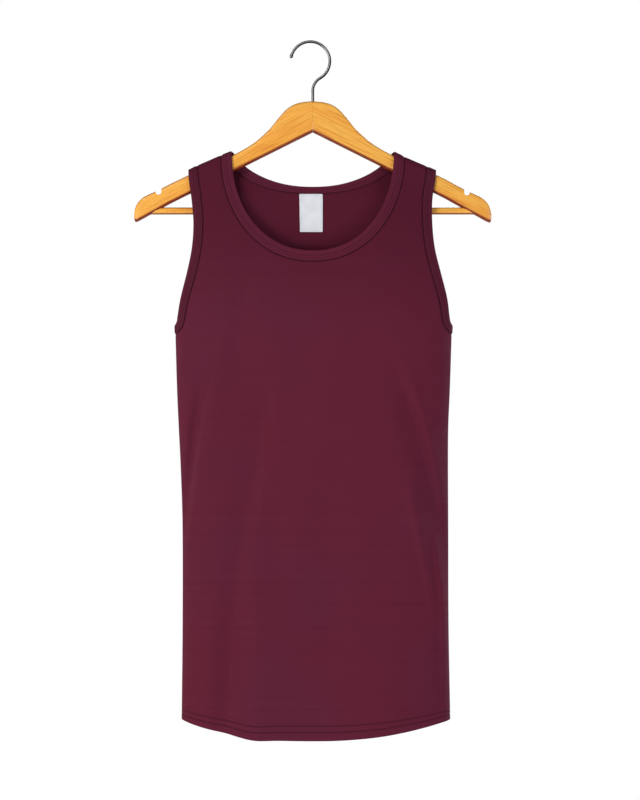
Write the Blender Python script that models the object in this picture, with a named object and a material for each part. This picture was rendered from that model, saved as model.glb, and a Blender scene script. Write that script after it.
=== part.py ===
"""A sleeveless performance shirt hanging on a wooden hanger.

Metres, +Z up, the shirt's front towards -Y. The origin is the place where the hook
rests on its rail: inside the hook's crown, on the hanger's middle plane.

"drop" is a distance below the origin. The shirt is worked out on its cloth:
"reach" is the distance from the middle of the front or back, measured along the
cloth, and "height" is minus the drop, measured on along the cloth where the strap
turns over the hanger.
"""
import math
from functools import lru_cache

import bmesh
import bpy
import numpy as np
from mathutils import Vector

for old_object in list(bpy.data.objects):
    bpy.data.objects.remove(old_object, do_unlink=True)

GAP = 0.0003                    # between pieces that touch

# ---------------------------------------------------------------- hanger sizes
ARM_THICKNESS = 0.012
ARM_EDGE_RADIUS = 0.0050
ARM_CORNER_STEPS = 3
ARM_EDGE_LIMITS = (0.95, 0.48)  # the edge's radius, at most: of the half thickness, of the height
ARM_APEX_DROP = 0.1113          # where the arms' lower edges meet
ARM_LOWER_SLOPE = 0.5
# Upper edge of an arm, from the hump at the middle to the strap notch: across, drop
ARM_TOP = (
    (0.0000, 0.0724),
    (0.0130, 0.0737),
    (0.0235, 0.0768),
    (0.0330, 0.0830),
    (0.0430, 0.0940),
    (0.0530, 0.1064),
    (0.0635, 0.1166),
    (0.0740, 0.1252),
    (0.0860, 0.1326),
    (0.1010, 0.1405),
    (0.1280, 0.1526),
    (0.1560, 0.1652),
    (0.1870, 0.1802),
)
# The rounded outer end: across, top drop, bottom drop, half thickness
ARM_TIP = (
    (0.1990, 0.1853, 0.2108, 0.0060),
    (0.2060, 0.1880, 0.2143, 0.0060),
    (0.2120, 0.1911, 0.2173, 0.0059),
    (0.2168, 0.1954, 0.2196, 0.0056),
    (0.2200, 0.2000, 0.2206, 0.0048),
    (0.2217, 0.2048, 0.2195, 0.0036),
    (0.2225, 0.2092, 0.2168, 0.0020),
)
NOTCH_ACROSS = 0.1919           # the notch that keeps a strap from sliding off
NOTCH_DROP = 0.1852
NOTCH_RADIUS = 0.0034
NOTCH_SIDES = 14
BAR_DIAMETER = 0.0088
BAR_DROP = 0.2092
BAR_HALF_LENGTH = 0.2075
BAR_SIDES = 16
BAR_BORE_START = 0.170          # inside the arm's lower edge, where the bar goes in

WIRE_DIAMETER = 0.0032
HOOK_RADIUS = 0.0244            # to the middle of the wire
HOOK_CENTRE_ACROSS = -0.0031
HOOK_LEAD_ANGLE = math.radians(-60.0)   # where the neck's bend runs into the round
HOOK_END_ANGLE = math.radians(166.0)    # the open end
HOOK_TIP_SWELL = 1.22           # the rounded tip, against the wire
HOOK_TIP_END = 0.85             # its very end
HOOK_BEND_STEPS = 6
HOOK_ROUND_STEPS = 30
SHANK_BOTTOM_DROP = 0.0975
WIRE_BORE_TOP_DROP = 0.055      # above the hanger's hump
WIRE_BORE_CLEARANCE = 0.0005
WIRE_BORE_SIDES = 12

# ----------------------------------------------------------------- shirt sizes
CLOTH = 0.0012                  # the wall of a panel
HEM_DEPTH = 0.022
HEM_TURN = 0.0012               # the turned layer, inside the hem
HEM_TURN_RUN = 0.0007           # over which the turned layer's cut edge thins out
BAND = 0.0030                   # a folded band with its seam, outside to inside
BAND_INSETS = (1.0, 0.66, 0.33)     # of its width: the corners of its flat sides
BAND_FOLD_RUN = 0.0011          # over which its folded edge rounds off
BAND_FOLD_NOSE = 0.45           # the folded edge's thickness there, of the band's
SEAM_GAP = 0.0005               # between a band and its panel, along the cloth
CAP_RADIUS = ARM_THICKNESS / 2 + GAP + BAND / 2 + 0.0001    # the strap's turn over the arm

SHOULDER_SLOPE = 0.396
NECK_HALF_WIDTH = 0.101         # at the shoulder seam, to the band's free edge
SHOULDER_DROP = 0.1380          # crown of the strap at its neck end
SHOULDER_OUTER = {"left": 0.1550, "right": 0.1538}   # its armhole end, across

NECK_DROP = {"front": 0.2596, "back": 0.1793}    # free edge, at the middle
# A neck edge is the curve (across / half width) ** wide + (depth share) ** deep = 1.
NECK_ROUNDNESS = {"front": (2.15, 2.15), "back": (2.2, 1.3)}
NECK_BAND_WIDTH = {"shoulder": 0.0136, "front": 0.0131, "back": 0.0088}
ARMHOLE_BAND_WIDTH = {"shoulder": 0.0124, "underarm": 0.0108}

UNDERARM_DROP = 0.352
# Half width of the body at its side seams: drop, left, right
SIDE_SEAM = (
    (0.352, 0.1712, 0.1732),
    (0.427, 0.1687, 0.1704),
    (0.477, 0.1662, 0.1680),
    (0.526, 0.1637, 0.1676),
    (0.601, 0.1613, 0.1678),
    (0.726, 0.1613, 0.1679),
    (0.846, 0.1628, 0.1706),
)
# Free edge of the armhole from the underarm up: drop, and how far inside the
# underarm's half width it lies on the left and on the right
ARMHOLE_EDGE = (
    (0.348, 0.0021, 0.0021),
    (0.340, 0.0035, 0.0036),
    (0.318, 0.0072, 0.0064),
    (0.286, 0.0152, 0.0145),
    (0.256, 0.0212, 0.0218),
    (0.226, 0.0231, 0.0248),
    (0.196, 0.0206, 0.0246),
    (0.172, 0.0172, 0.0208),
)
HEM_DROP = {"front": 0.8660, "back": 0.8615}     # at the middle
HEM_SIDE = (0.166, 0.8422)      # a place near the side seam: across, drop
HEM_CURVE = 2.2                 # the power by which the hem rises to it
# Half of the body's thickness, front to back: drop, front, back
BODY_DEPTH = (
    (0.160, 0.0200, 0.0165),
    (0.260, 0.0230, 0.0190),
    (0.360, 0.0270, 0.0240),
    (0.550, 0.0290, 0.0265),
    (0.700, 0.0300, 0.0275),
    (0.870, 0.0310, 0.0285),
)
BODY_SQUARENESS = 4.0           # 2 is an ellipse, more is flatter with rounder sides
# Below the shoulder seam: where the strap leaves the arm, and where it has joined the
# body's own curve
STRAP_LEAVES_ARM = {"front": 0.006, "back": 0.030}
STRAP_MEETS_BODY = {"front": 0.100, "back": 0.130}
# The back hangs in front of the trouser bar. It crosses from behind the arms to the
# bar's front, lies against it, and returns to the body's curve below.
BAR_ROOM = 0.0005               # between the bar and the thickest cloth on it
ARM_LEFT = 0.0020               # below the arm's lower edge, where the crossing starts
BAR_MET = 0.0030                # above the bar's middle, where the cloth is in front of it
BAR_LEFT = 0.0060               # below the bar's middle, where the cloth leaves it
BACK_RETURN = 0.130             # over which it returns

# Largest folds: a smooth line through three places (across and drop of the top, the
# middle and the foot), half width and height. A trough has a negative height.
FOLDS = {
    "front": (
        ((-0.110, 0.335), (-0.126, 0.445), (-0.156, 0.600), 0.0130, 0.0080),
        ((-0.140, 0.400), (-0.149, 0.475), (-0.155, 0.540), 0.0100, -0.0045),
        ((-0.078, 0.480), (-0.092, 0.640), (-0.118, 0.850), 0.0160, -0.0060),
        ((-0.083, 0.690), (-0.086, 0.770), (-0.082, 0.870), 0.0130, 0.0035),
        ((0.093, 0.410), (0.126, 0.520), (0.154, 0.640), 0.0110, -0.0050),
        ((0.112, 0.385), (0.144, 0.500), (0.163, 0.625), 0.0100, 0.0050),
        ((0.088, 0.470), (0.112, 0.570), (0.160, 0.690), 0.0130, 0.0045),
        ((0.028, 0.500), (0.020, 0.650), (0.026, 0.830), 0.0220, -0.0020),
    ),
    "back": (
        ((0.110, 0.350), (0.126, 0.470), (0.155, 0.620), 0.0130, 0.0050),
        ((0.078, 0.470), (0.092, 0.640), (0.108, 0.850), 0.0160, -0.0045),
        ((-0.090, 0.400), (-0.122, 0.530), (-0.150, 0.660), 0.0120, -0.0045),
        ((-0.084, 0.500), (-0.108, 0.610), (-0.150, 0.720), 0.0140, 0.0045),
        ((-0.030, 0.520), (-0.020, 0.680), (-0.026, 0.830), 0.0220, -0.0025),
    ),
}
FOLD_FADE = 0.022               # folds die out over this distance to the side seam
FOLD_END = 0.06                 # where on a sine's hump a fold starts: it never quite ends

LABEL_WIDTH = 0.0290
LABEL_LENGTH = 0.0465
LABEL_ACROSS = -0.0022          # its middle
LABEL_THICKNESS = 0.0010
LABEL_POINTS = 5                # each way

# How finely the cloth is divided
HEM_ROWS = 3                    # on the turned hem
BODY_ROWS = 20                  # between the hem and the underarm
CLOTH_COLUMNS = (0.0, 0.10, 0.20, 0.30, 0.40, 0.50, 0.60, 0.70, 0.80, 0.89, 0.96, 1.0)
CAP_STEPS = 4                   # over the quarter turn on the arm
EDGE_STATIONS = {"front": 11, "back": 18}    # along an armhole, below the turn
BACK_NECK_STATIONS = 9
BACK_MIDDLE_ROWS = EDGE_STATIONS["back"] - BACK_NECK_STATIONS   # below the back neck
# Stations crowd at these drops: where, over what distance, and how much closer
CROWDING = {
    "front": ((0.352, 0.050, 1.5),),
    "back": ((0.352, 0.040, 1.5), (0.204, 0.018, 5.0)),
}
SECTION_POINTS = 61             # on a quarter of a level's outline
NECK_POINTS = 120               # on half of a neck's curve
SLOPE_STEP = 0.0002             # for the cloth's slope
SEAM_RUN = 0.035                # over which a band's insets turn to follow the shoulder seam
ON_MIDDLE = 1e-9                # a reach under this is the middle of the shirt

SIDE_SIGN = {"left": -1.0, "right": 1.0}
FACE_SIGN = {"front": -1.0, "back": 1.0}
SIDE_COLUMN = {"left": 1, "right": 2}
FACE_COLUMN = {"front": 1, "back": 2}


# --------------------------------------------------------------- shared helpers
def eased(share):
    """0 to 1 with a soft start and end."""
    share = min(max(share, 0.0), 1.0)
    return share * share * (3.0 - 2.0 * share)


def curve_through(points, before=None, after=None, steps=12):
    """Points of the smooth curve that runs through the given ones."""
    points = np.array(points, dtype=float)
    before = 2 * points[0] - points[1] if before is None else np.array(before)
    after = 2 * points[-1] - points[-2] if after is None else np.array(after)
    padded = np.vstack([before, points, after])
    curve = []
    for p0, p1, p2, p3 in zip(padded, padded[1:], padded[2:], padded[3:]):
        for t in np.linspace(0.0, 1.0, steps, endpoint=False):
            curve.append(0.5 * (2 * p1 + (p2 - p0) * t
                                + (2 * p0 - 5 * p1 + 4 * p2 - p3) * t ** 2
                                + (3 * p1 - p0 - 3 * p2 + p3) * t ** 3))
    curve.append(points[-1])
    return np.array(curve)


def lengths_along(curve):
    """Distance from the curve's start to each of its points."""
    steps = np.linalg.norm(np.diff(curve, axis=0), axis=1)
    return np.concatenate([[0.0], np.cumsum(steps)])


@lru_cache(maxsize=None)
def table_curve(table, column):
    """The smooth curve through a column of a table."""
    return curve_through([(row[0], row[column]) for row in table])


def read_table(table, column, at):
    """A column of a table at any value of its first column, on a smooth curve."""
    curve = table_curve(table, column)
    return float(np.interp(at, curve[:, 0], curve[:, 1]))


def material(name, colour, roughness, metallic=0.0):
    """A plain finish."""
    finish = bpy.data.materials.new(name)
    finish.use_nodes = True
    shader = finish.node_tree.nodes["Principled BSDF"]
    shader.inputs["Base Color"].default_value = (*colour, 1.0)
    shader.inputs["Roughness"].default_value = roughness
    shader.inputs["Metallic"].default_value = metallic
    return finish


def solid(name, points, faces, finish):
    """A named object from points and faces that close round it."""
    mesh = bpy.data.meshes.new(name)
    mesh.from_pydata([tuple(point) for point in points], [], faces)
    work = bmesh.new()
    work.from_mesh(mesh)
    bmesh.ops.recalc_face_normals(work, faces=work.faces)
    work.to_mesh(mesh)
    work.free()
    mesh.materials.append(finish)
    piece = bpy.data.objects.new(name, mesh)
    bpy.context.scene.collection.objects.link(piece)
    return piece


JERSEY = material("jersey", (0.105, 0.016, 0.034), 0.75)
BAND_JERSEY = material("band_jersey", (0.085, 0.013, 0.028), 0.72)
LABEL_TAPE = material("label_tape", (0.74, 0.76, 0.79), 0.60)
VARNISHED_WOOD = material("varnished_wood", (0.86, 0.39, 0.07), 0.38)
BRIGHT_STEEL = material("bright_steel", (0.55, 0.55, 0.56), 0.25, 1.0)


# ------------------------------------------------------------ the shirt's form
def half_width(side, drop):
    """The body's half width; above the underarm it stays as it is there."""
    return read_table(SIDE_SEAM, SIDE_COLUMN[side], max(drop, UNDERARM_DROP))


@lru_cache(maxsize=20000)
def body_section(side, face, drop):
    """Half of one level's outline: across, thickness and reach of its points."""
    width = half_width(side, drop)
    depth = read_table(BODY_DEPTH, FACE_COLUMN[face], drop)
    angle = np.linspace(0.0, math.pi / 2, SECTION_POINTS)
    across = width * np.sin(angle) ** (2.0 / BODY_SQUARENESS)
    thickness = depth * np.cos(angle)
    return across, thickness, lengths_along(np.column_stack([across, thickness]))


def reach_at(side, face, drop, across):
    """Reach of the point of a level that lies this far across."""
    xs, _, reaches = body_section(side, face, drop)
    return float(np.interp(across, xs, reaches))


def seam_reach(side, face, drop):
    """Reach of the side seam."""
    return float(body_section(side, face, drop)[2][-1])


def shoulder_drop(across):
    """Crown of the strap above the hanger's arm."""
    return SHOULDER_DROP + SHOULDER_SLOPE * (across - NECK_HALF_WIDTH)


def seam_height(across):
    """Height of the shoulder seam with the strap laid out flat."""
    return CAP_RADIUS * (math.pi / 2 - 1.0) - shoulder_drop(across)


FOLD_LINES = {
    face: [(curve_through(line[:3], steps=10), line[3], line[4]) for line in lines]
    for face, lines in FOLDS.items()
}


def fold_height(face, across, drop):
    """How far the folds push the cloth out or let it in."""
    total = 0.0
    for line, width, height in FOLD_LINES[face]:
        away = np.hypot(line[:, 0] - across, line[:, 1] - drop)
        nearest = int(np.argmin(away))
        share = FOLD_END + (1.0 - 2 * FOLD_END) * nearest / (len(line) - 1)
        strength = math.sin(math.pi * share)
        total += height * strength * math.exp(-(away[nearest] / width) ** 2)
    return total


def past_bar(x, y, drop):
    """The back's place in depth, drawn to the front of the trouser bar."""
    start = ARM_APEX_DROP + ARM_LOWER_SLOPE * x + ARM_LEFT
    bar_front = -(BAR_DIAMETER / 2 + BAR_ROOM + BAND / 2)
    crossed = eased((drop - start) / (BAR_DROP - BAR_MET - start))
    returned = eased((drop - BAR_DROP - BAR_LEFT) / BACK_RETURN)
    return y + (bar_front - y) * crossed * (1.0 - returned)


def cloth_middle(side, face, reach, height):
    """The point in the middle of the cloth's wall."""
    across, thickness, reaches = body_section(side, face, -height)
    x = float(np.interp(reach, reaches, across))
    y = float(np.interp(reach, reaches, thickness))
    z = height
    below_seam = max(seam_height(x) - height, 0.0)
    turn = min(below_seam / CAP_RADIUS, math.pi / 2)
    if turn < math.pi / 2:
        z = -shoulder_drop(x) - CAP_RADIUS * (1.0 - math.cos(turn))
    on_arm = CAP_RADIUS * math.sin(turn)
    leaves, meets = STRAP_LEAVES_ARM[face], STRAP_MEETS_BODY[face]
    y = on_arm + (y - on_arm) * eased((below_seam - leaves) / (meets - leaves))
    if face == "back":
        y = past_bar(x, y, -height)
    to_side = reaches[-1] - reach
    y += fold_height(face, SIDE_SIGN[side] * x, -height) * eased(to_side / FOLD_FADE)
    return Vector((SIDE_SIGN[side] * x, FACE_SIGN[face] * y, z))


def cloth_point(side, face, reach, height, out=0.0):
    """A point on the cloth, moved out of it by the given distance."""
    here = cloth_middle(side, face, reach, height)
    if out == 0.0:
        return here
    along = (cloth_middle(side, face, reach + SLOPE_STEP, height)
             - cloth_middle(side, face, max(reach - SLOPE_STEP, 0.0), height))
    up = (cloth_middle(side, face, reach, height + SLOPE_STEP)
          - cloth_middle(side, face, reach, height - SLOPE_STEP))
    outwards = along.cross(up).normalized() * -SIDE_SIGN[side] * FACE_SIGN[face]
    return here + outwards * out


# ------------------------------------------------------- edges of the openings
def crowded(face, lengths, drops, end, count):
    """Spots up to an end, closer together where the stations crowd."""
    density = np.ones(len(lengths))
    for drop, run, closer in CROWDING[face]:
        density += closer * np.exp(-((drops - drop) / run) ** 2)
    steps = np.diff(lengths) * (density[1:] + density[:-1]) / 2
    measure = np.concatenate([[0.0], np.cumsum(steps)])
    marks = np.linspace(0.0, float(np.interp(end, lengths, measure)), count)
    return list(np.interp(marks, measure, lengths))


def stations(face, path, main_count):
    """Stations on an edge that ends at the shoulder: those below the strap's turn over
    the arm, then the turn's.
    """
    below = np.array([seam_height(reach) - height for reach, height in path])
    turn_start = CAP_RADIUS * math.pi / 2
    lengths = lengths_along(path)
    end = float(np.interp(-turn_start, -below, lengths))
    spots = crowded(face, lengths, -path[:, 1], end, main_count)
    for step in range(1, CAP_STEPS + 1):
        spots.append(float(np.interp(-turn_start * (1 - step / CAP_STEPS), -below, lengths)))
    return [(float(np.interp(spot, lengths, path[:, 0])),
             float(np.interp(spot, lengths, path[:, 1]))) for spot in spots]


def insets(edge, into_cloth, start_direction):
    """Unit directions, on the cloth, from an edge's stations into the cloth.

    Near the shoulder seam they turn to run along it, so front and back meet there.
    """
    along_seam = np.array([1.0, -SHOULDER_SLOPE]) * into_cloth
    along_seam /= np.linalg.norm(along_seam)
    directions = []
    for index, (reach, height) in enumerate(edge):
        previous = edge[max(index - 1, 0)]
        following = edge[min(index + 1, len(edge) - 1)]
        run = np.array(following) - np.array(previous)
        square = np.array([run[1], -run[0]]) * into_cloth
        square /= np.linalg.norm(square)
        if index == 0:
            square = np.array(start_direction, dtype=float)
        near_seam = 1.0 - eased((seam_height(reach) - height) / SEAM_RUN)
        direction = square * (1.0 - near_seam) + along_seam * near_seam
        directions.append(direction / np.linalg.norm(direction))
    return directions


def neck_edge(side, face):
    """Free edge of the neck, from the middle up to the shoulder seam."""
    wide, deep = NECK_ROUNDNESS[face]
    top = -seam_height(NECK_HALF_WIDTH)
    depth = NECK_DROP[face] - top
    path = []
    for angle in np.linspace(math.pi / 2, 0.0, NECK_POINTS):
        share = math.sin(angle) ** (2.0 / deep)
        across = NECK_HALF_WIDTH * math.cos(angle) ** (2.0 / wide)
        drop = top + depth * share
        path.append((reach_at(side, face, drop, across), -drop))
    count = EDGE_STATIONS["front"] if face == "front" else BACK_NECK_STATIONS
    edge = stations(face, np.array(path), count)
    edge[0] = (0.0, -NECK_DROP[face])
    return edge, insets(edge, 1.0, (0.0, -1.0))


def armhole_edge(side, face):
    """Free edge of the armhole, from the side seam up to the shoulder seam."""
    underarm = half_width(side, UNDERARM_DROP)
    points = [(seam_reach(side, face, UNDERARM_DROP), -UNDERARM_DROP)]
    for row in ARMHOLE_EDGE:
        across = underarm - row[SIDE_COLUMN[side]]
        points.append((reach_at(side, face, row[0], across), -row[0]))
    shoulder = SHOULDER_OUTER[side]
    top = seam_height(shoulder)
    points.append((reach_at(side, face, -top, shoulder), top))
    mirrored = (2 * points[0][0] - points[1][0], points[1][1])
    edge = stations(face, curve_through(points, before=mirrored), EDGE_STATIONS[face])
    return edge, insets(edge, -1.0, (0.0, -1.0))


def band_width(widths, low_key, index, count):
    """A band's width at one of its stations."""
    share = eased(index / (count - 1))
    return widths[low_key] + (widths["shoulder"] - widths[low_key]) * share


def seam_line(edge, directions, widths, low_key):
    """Where the panel starts, just past the band."""
    line = []
    for index, (place, direction) in enumerate(zip(edge, directions)):
        width = band_width(widths, low_key, index, len(edge)) + SEAM_GAP
        line.append(np.array(place) + direction * width)
    return line


def band(name, parts, finish):
    """A folded band: one closed ring of like sections over several stretches.

    Each part is (side, face, edge, directions, widths, low_key, reverse).
    """
    half = BAND / 2
    rings = []
    for side, face, edge, directions, widths, low_key, reverse in parts:
        order = list(range(len(edge)))
        if reverse:
            order.reverse()
        for index in order[:-1]:
            width = band_width(widths, low_key, index, len(edge))
            outside = [(width * share, half) for share in BAND_INSETS]
            outside += [(BAND_FOLD_RUN, half), (0.0, half * BAND_FOLD_NOSE)]
            profile = outside + [(inset, -out) for inset, out in reversed(outside)]
            ring = []
            for inset, out in profile:
                reach, height = np.array(edge[index]) + directions[index] * inset
                ring.append(cloth_point(side, face, max(reach, 0.0), height, out))
            rings.append(ring)
    count = len(rings[0])
    points = [point for ring in rings for point in ring]
    faces = []
    for number in range(len(rings)):
        here = number * count
        there = (number + 1) % len(rings) * count
        for corner in range(count):
            beside = (corner + 1) % count
            faces.append((here + corner, here + beside, there + beside, there + corner))
    return solid(name, points, faces, finish)


# ------------------------------------------------------------------- the panels
def hem_height(face, across):
    """The hem's bottom edge."""
    rise = HEM_DROP[face] - HEM_SIDE[1]
    return rise * (across / HEM_SIDE[0]) ** HEM_CURVE - HEM_DROP[face]


def panel_rows(side, face):
    """Each row's middle end, side end, bow towards the hem's curve and inner wall."""
    neck, neck_in = neck_edge(side, face)
    neck_seam = seam_line(neck, neck_in, NECK_BAND_WIDTH, face)
    arm, arm_in = armhole_edge(side, face)
    arm_seam = seam_line(arm, arm_in, ARMHOLE_BAND_WIDTH, "underarm")
    chest = -(NECK_DROP["front"] + NECK_BAND_WIDTH["front"] + GAP)
    underarm = float(arm_seam[0][1])
    hem_middle = hem_height(face, 0.0)
    hem_side = hem_height(face, half_width(side, HEM_SIDE[1]))

    rows = []
    for up in np.linspace(0.0, HEM_DEPTH, HEM_ROWS):
        rows.append((hem_middle + up, hem_side + up, 1.0, CLOTH / 2 + HEM_TURN))
    first = HEM_DEPTH + HEM_TURN_RUN
    for step in range(BODY_ROWS):
        share = step / BODY_ROWS
        middle = hem_middle + first + (chest - hem_middle - first) * share
        outer = hem_side + first + (underarm - hem_side - first) * share
        rows.append((middle, outer, (1.0 - share) ** 2, CLOTH / 2))
    lower = []
    for middle, outer, bow, wall in rows:
        lower.append(((0.0, middle), (seam_reach(side, face, -outer), outer), bow, wall))

    middle_ends = list(neck_seam)
    if face == "back":
        up = np.linspace(0.0, neck_seam[0][1] - chest, SECTION_POINTS)
        spots = crowded(face, up, -(chest + up), up[-1], BACK_MIDDLE_ROWS + 1)[:-1]
        middle_ends = [(0.0, chest + spot) for spot in spots] + middle_ends
    upper = []
    for number, (inner, outer) in enumerate(zip(middle_ends, arm_seam)):
        if number == 0:
            outer = (seam_reach(side, face, -underarm), underarm)
        upper.append((tuple(inner), tuple(outer), 0.0, CLOTH / 2))
    return lower + upper


def panel(name, face, finish):
    """A front or back panel: a wall laid over the shirt's form, hem turned in."""
    outer_points = []
    inner_points = []
    index_of = {}
    quads = []
    seam_rows = HEM_ROWS + BODY_ROWS + 1    # those that end at the side seam
    for side in ("right", "left"):
        rows = panel_rows(side, face)
        middle_hem = rows[0][0][1]
        for r, (inner, outer, bow, wall) in enumerate(rows):
            for c, share in enumerate(CLOTH_COLUMNS):
                shared = c == 0 and inner[0] < ON_MIDDLE
                key = ("middle", r) if shared else (side, r, c)
                if key in index_of:
                    index_of[side, r, c] = index_of[key]
                    continue
                reach = inner[0] + (outer[0] - inner[0]) * share
                height = inner[1] + (outer[1] - inner[1]) * share
                if bow:
                    x = abs(cloth_middle(side, face, reach, middle_hem).x)
                    straight = middle_hem + (rows[0][1][1] - middle_hem) * share
                    height += bow * (hem_height(face, x) - straight)
                for points, out in ((outer_points, CLOTH / 2), (inner_points, -wall)):
                    point = cloth_point(side, face, reach, height, out)
                    if c == len(CLOTH_COLUMNS) - 1 and r < seam_rows:
                        point.y = FACE_SIGN[face] * max(point.y * FACE_SIGN[face], GAP / 2)
                    points.append(point)
                index_of[key] = index_of[side, r, c] = len(outer_points) - 1
        for r in range(len(rows) - 1):
            for c in range(len(CLOTH_COLUMNS) - 1):
                quads.append((index_of[side, r, c], index_of[side, r, c + 1],
                              index_of[side, r + 1, c + 1], index_of[side, r + 1, c]))
    count = len(outer_points)
    uses = {}
    for quad in quads:
        for a, b in zip(quad, quad[1:] + quad[:1]):
            uses.setdefault(frozenset((a, b)), []).append((a, b))
    faces = list(quads) + [tuple(reversed([i + count for i in quad])) for quad in quads]
    for edge in uses.values():
        if len(edge) == 1:
            a, b = edge[0]
            faces.append((b, a, a + count, b + count))
    return solid(name, outer_points + inner_points, faces, finish)


panel("front_panel", "front", JERSEY)
panel("back_panel", "back", JERSEY)

# ------------------------------------------------------ neck and armhole bands
neck_parts = []
for face_name, side_name, going_down in (("front", "right", True), ("front", "left", False),
                                         ("back", "left", True), ("back", "right", False)):
    edge_stations, edge_insets = neck_edge(side_name, face_name)
    neck_parts.append((side_name, face_name, edge_stations, edge_insets,
                       NECK_BAND_WIDTH, face_name, going_down))
band("neck_band", neck_parts, BAND_JERSEY)

for side_name in ("left", "right"):
    armhole_parts = []
    for face_name, going_down in (("front", True), ("back", False)):
        edge_stations, edge_insets = armhole_edge(side_name, face_name)
        armhole_parts.append((side_name, face_name, edge_stations, edge_insets,
                              ARMHOLE_BAND_WIDTH, "underarm", going_down))
    band("armhole_band_" + side_name, armhole_parts, BAND_JERSEY)


# ---------------------------------------------------------------- the neck label
def neck_label():
    """A woven patch on the inside of the back, just below the neck band."""
    top = NECK_DROP["back"] + NECK_BAND_WIDTH["back"] + GAP
    columns = np.linspace(-0.5, 0.5, LABEL_POINTS) * LABEL_WIDTH + LABEL_ACROSS
    levels = top + np.linspace(0.0, 1.0, LABEL_POINTS) * LABEL_LENGTH
    near = -(CLOTH / 2 + GAP)
    layers = []
    for out in (near, near - LABEL_THICKNESS):
        layer = []
        for drop in levels:
            for across in columns:
                side = "left" if across < 0.0 else "right"
                layer.append(cloth_point(side, "back", abs(across), -drop, out))
        layers.append(layer)
    rows = len(levels)
    count = rows * len(columns)
    faces = []
    for r in range(rows - 1):
        for c in range(len(columns) - 1):
            corner = r * len(columns) + c
            quad = (corner, corner + 1, corner + 1 + len(columns), corner + len(columns))
            faces.append(quad)
            faces.append(tuple(reversed([i + count for i in quad])))
    border = [c for c in range(len(columns))]
    border += [r * len(columns) + len(columns) - 1 for r in range(1, rows)]
    border += [(rows - 1) * len(columns) + c for c in range(len(columns) - 2, -1, -1)]
    border += [r * len(columns) for r in range(rows - 2, 0, -1)]
    for a, b in zip(border, border[1:] + border[:1]):
        faces.append((b, a, a + count, b + count))
    return solid("neck_label", layers[0] + layers[1], faces, LABEL_TAPE)


neck_label()


# -------------------------------------------------------------------- the hanger
def rod_cutter(name, start, end, radius, sides):
    """A hidden round bar that a Boolean takes away."""
    axis = Vector(end) - Vector(start)
    mesh = bpy.data.meshes.new(name)
    work = bmesh.new()
    bmesh.ops.create_cone(work, cap_ends=True, segments=sides, radius1=radius,
                          radius2=radius, depth=axis.length)
    turn = Vector((0.0, 0.0, 1.0)).rotation_difference(axis).to_matrix().to_4x4()
    turn.translation = (Vector(start) + Vector(end)) / 2
    bmesh.ops.transform(work, matrix=turn, verts=work.verts)
    work.to_mesh(mesh)
    work.free()
    cutter = bpy.data.objects.new(name, mesh)
    cutter.hide_render = True
    cutter.display_type = "WIRE"
    bpy.context.scene.collection.objects.link(cutter)
    return cutter


def arm_sections():
    """Upright sections of an arm: across, top drop, bottom drop, half thickness."""
    start = GAP / 2
    sections = []
    for across, top in curve_through(ARM_TOP, steps=2):
        across = max(float(across), start)
        bottom = ARM_APEX_DROP + ARM_LOWER_SLOPE * across
        sections.append((across, float(top), bottom, ARM_THICKNESS / 2))
    return sections + list(ARM_TIP)


def rounded_upright(across, top, bottom, half):
    """One section's points, as (x, y, z), with round corners."""
    most_across, most_upright = ARM_EDGE_LIMITS
    radius = min(ARM_EDGE_RADIUS, half * most_across, (bottom - top) * most_upright)
    corners = ((half, -top, 0.0), (-half, -top, 90.0), (-half, -bottom, 180.0),
               (half, -bottom, 270.0))
    points = []
    for y, z, first_angle in corners:
        centre_y = y - math.copysign(radius, y)
        centre_z = z - radius if z == -top else z + radius
        for step in range(ARM_CORNER_STEPS + 1):
            angle = math.radians(first_angle + 90.0 * step / ARM_CORNER_STEPS)
            points.append((across, centre_y + radius * math.cos(angle),
                           centre_z + radius * math.sin(angle)))
    return points


def hanger_arm(side):
    """A sawn wooden arm with rounded edges, notched, and bored for hook and bar."""
    sign = SIDE_SIGN[side]
    rings = [rounded_upright(*section) for section in arm_sections()]
    count = len(rings[0])
    points = [(sign * x, y, z) for ring in rings for x, y, z in ring]
    faces = [tuple(range(count)),
             tuple(reversed(range((len(rings) - 1) * count, len(rings) * count)))]
    for number in range(len(rings) - 1):
        for corner in range(count):
            here = number * count + corner
            beside = number * count + (corner + 1) % count
            faces.append((here, beside, beside + count, here + count))
    arm = solid("hanger_arm_" + side, points, faces, VARNISHED_WOOD)
    cutters = (
        rod_cutter("wire_bore_" + side, (0.0, 0.0, -SHANK_BOTTOM_DROP - GAP),
                   (0.0, 0.0, -WIRE_BORE_TOP_DROP),
                   WIRE_DIAMETER / 2 + WIRE_BORE_CLEARANCE, WIRE_BORE_SIDES),
        rod_cutter("bar_bore_" + side, (sign * BAR_BORE_START, 0.0, -BAR_DROP),
                   (sign * (BAR_HALF_LENGTH + GAP), 0.0, -BAR_DROP),
                   BAR_DIAMETER / 2 + GAP, BAR_SIDES),
        rod_cutter("strap_notch_" + side,
                   (sign * NOTCH_ACROSS, -ARM_THICKNESS, -NOTCH_DROP),
                   (sign * NOTCH_ACROSS, ARM_THICKNESS, -NOTCH_DROP),
                   NOTCH_RADIUS, NOTCH_SIDES),
    )
    for cutter in cutters:
        cut = arm.modifiers.new(cutter.name, "BOOLEAN")
        cut.operation = "DIFFERENCE"
        cut.solver = "EXACT"
        cut.object = cutter
    return arm


for side_name in ("left", "right"):
    hanger_arm(side_name)

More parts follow.
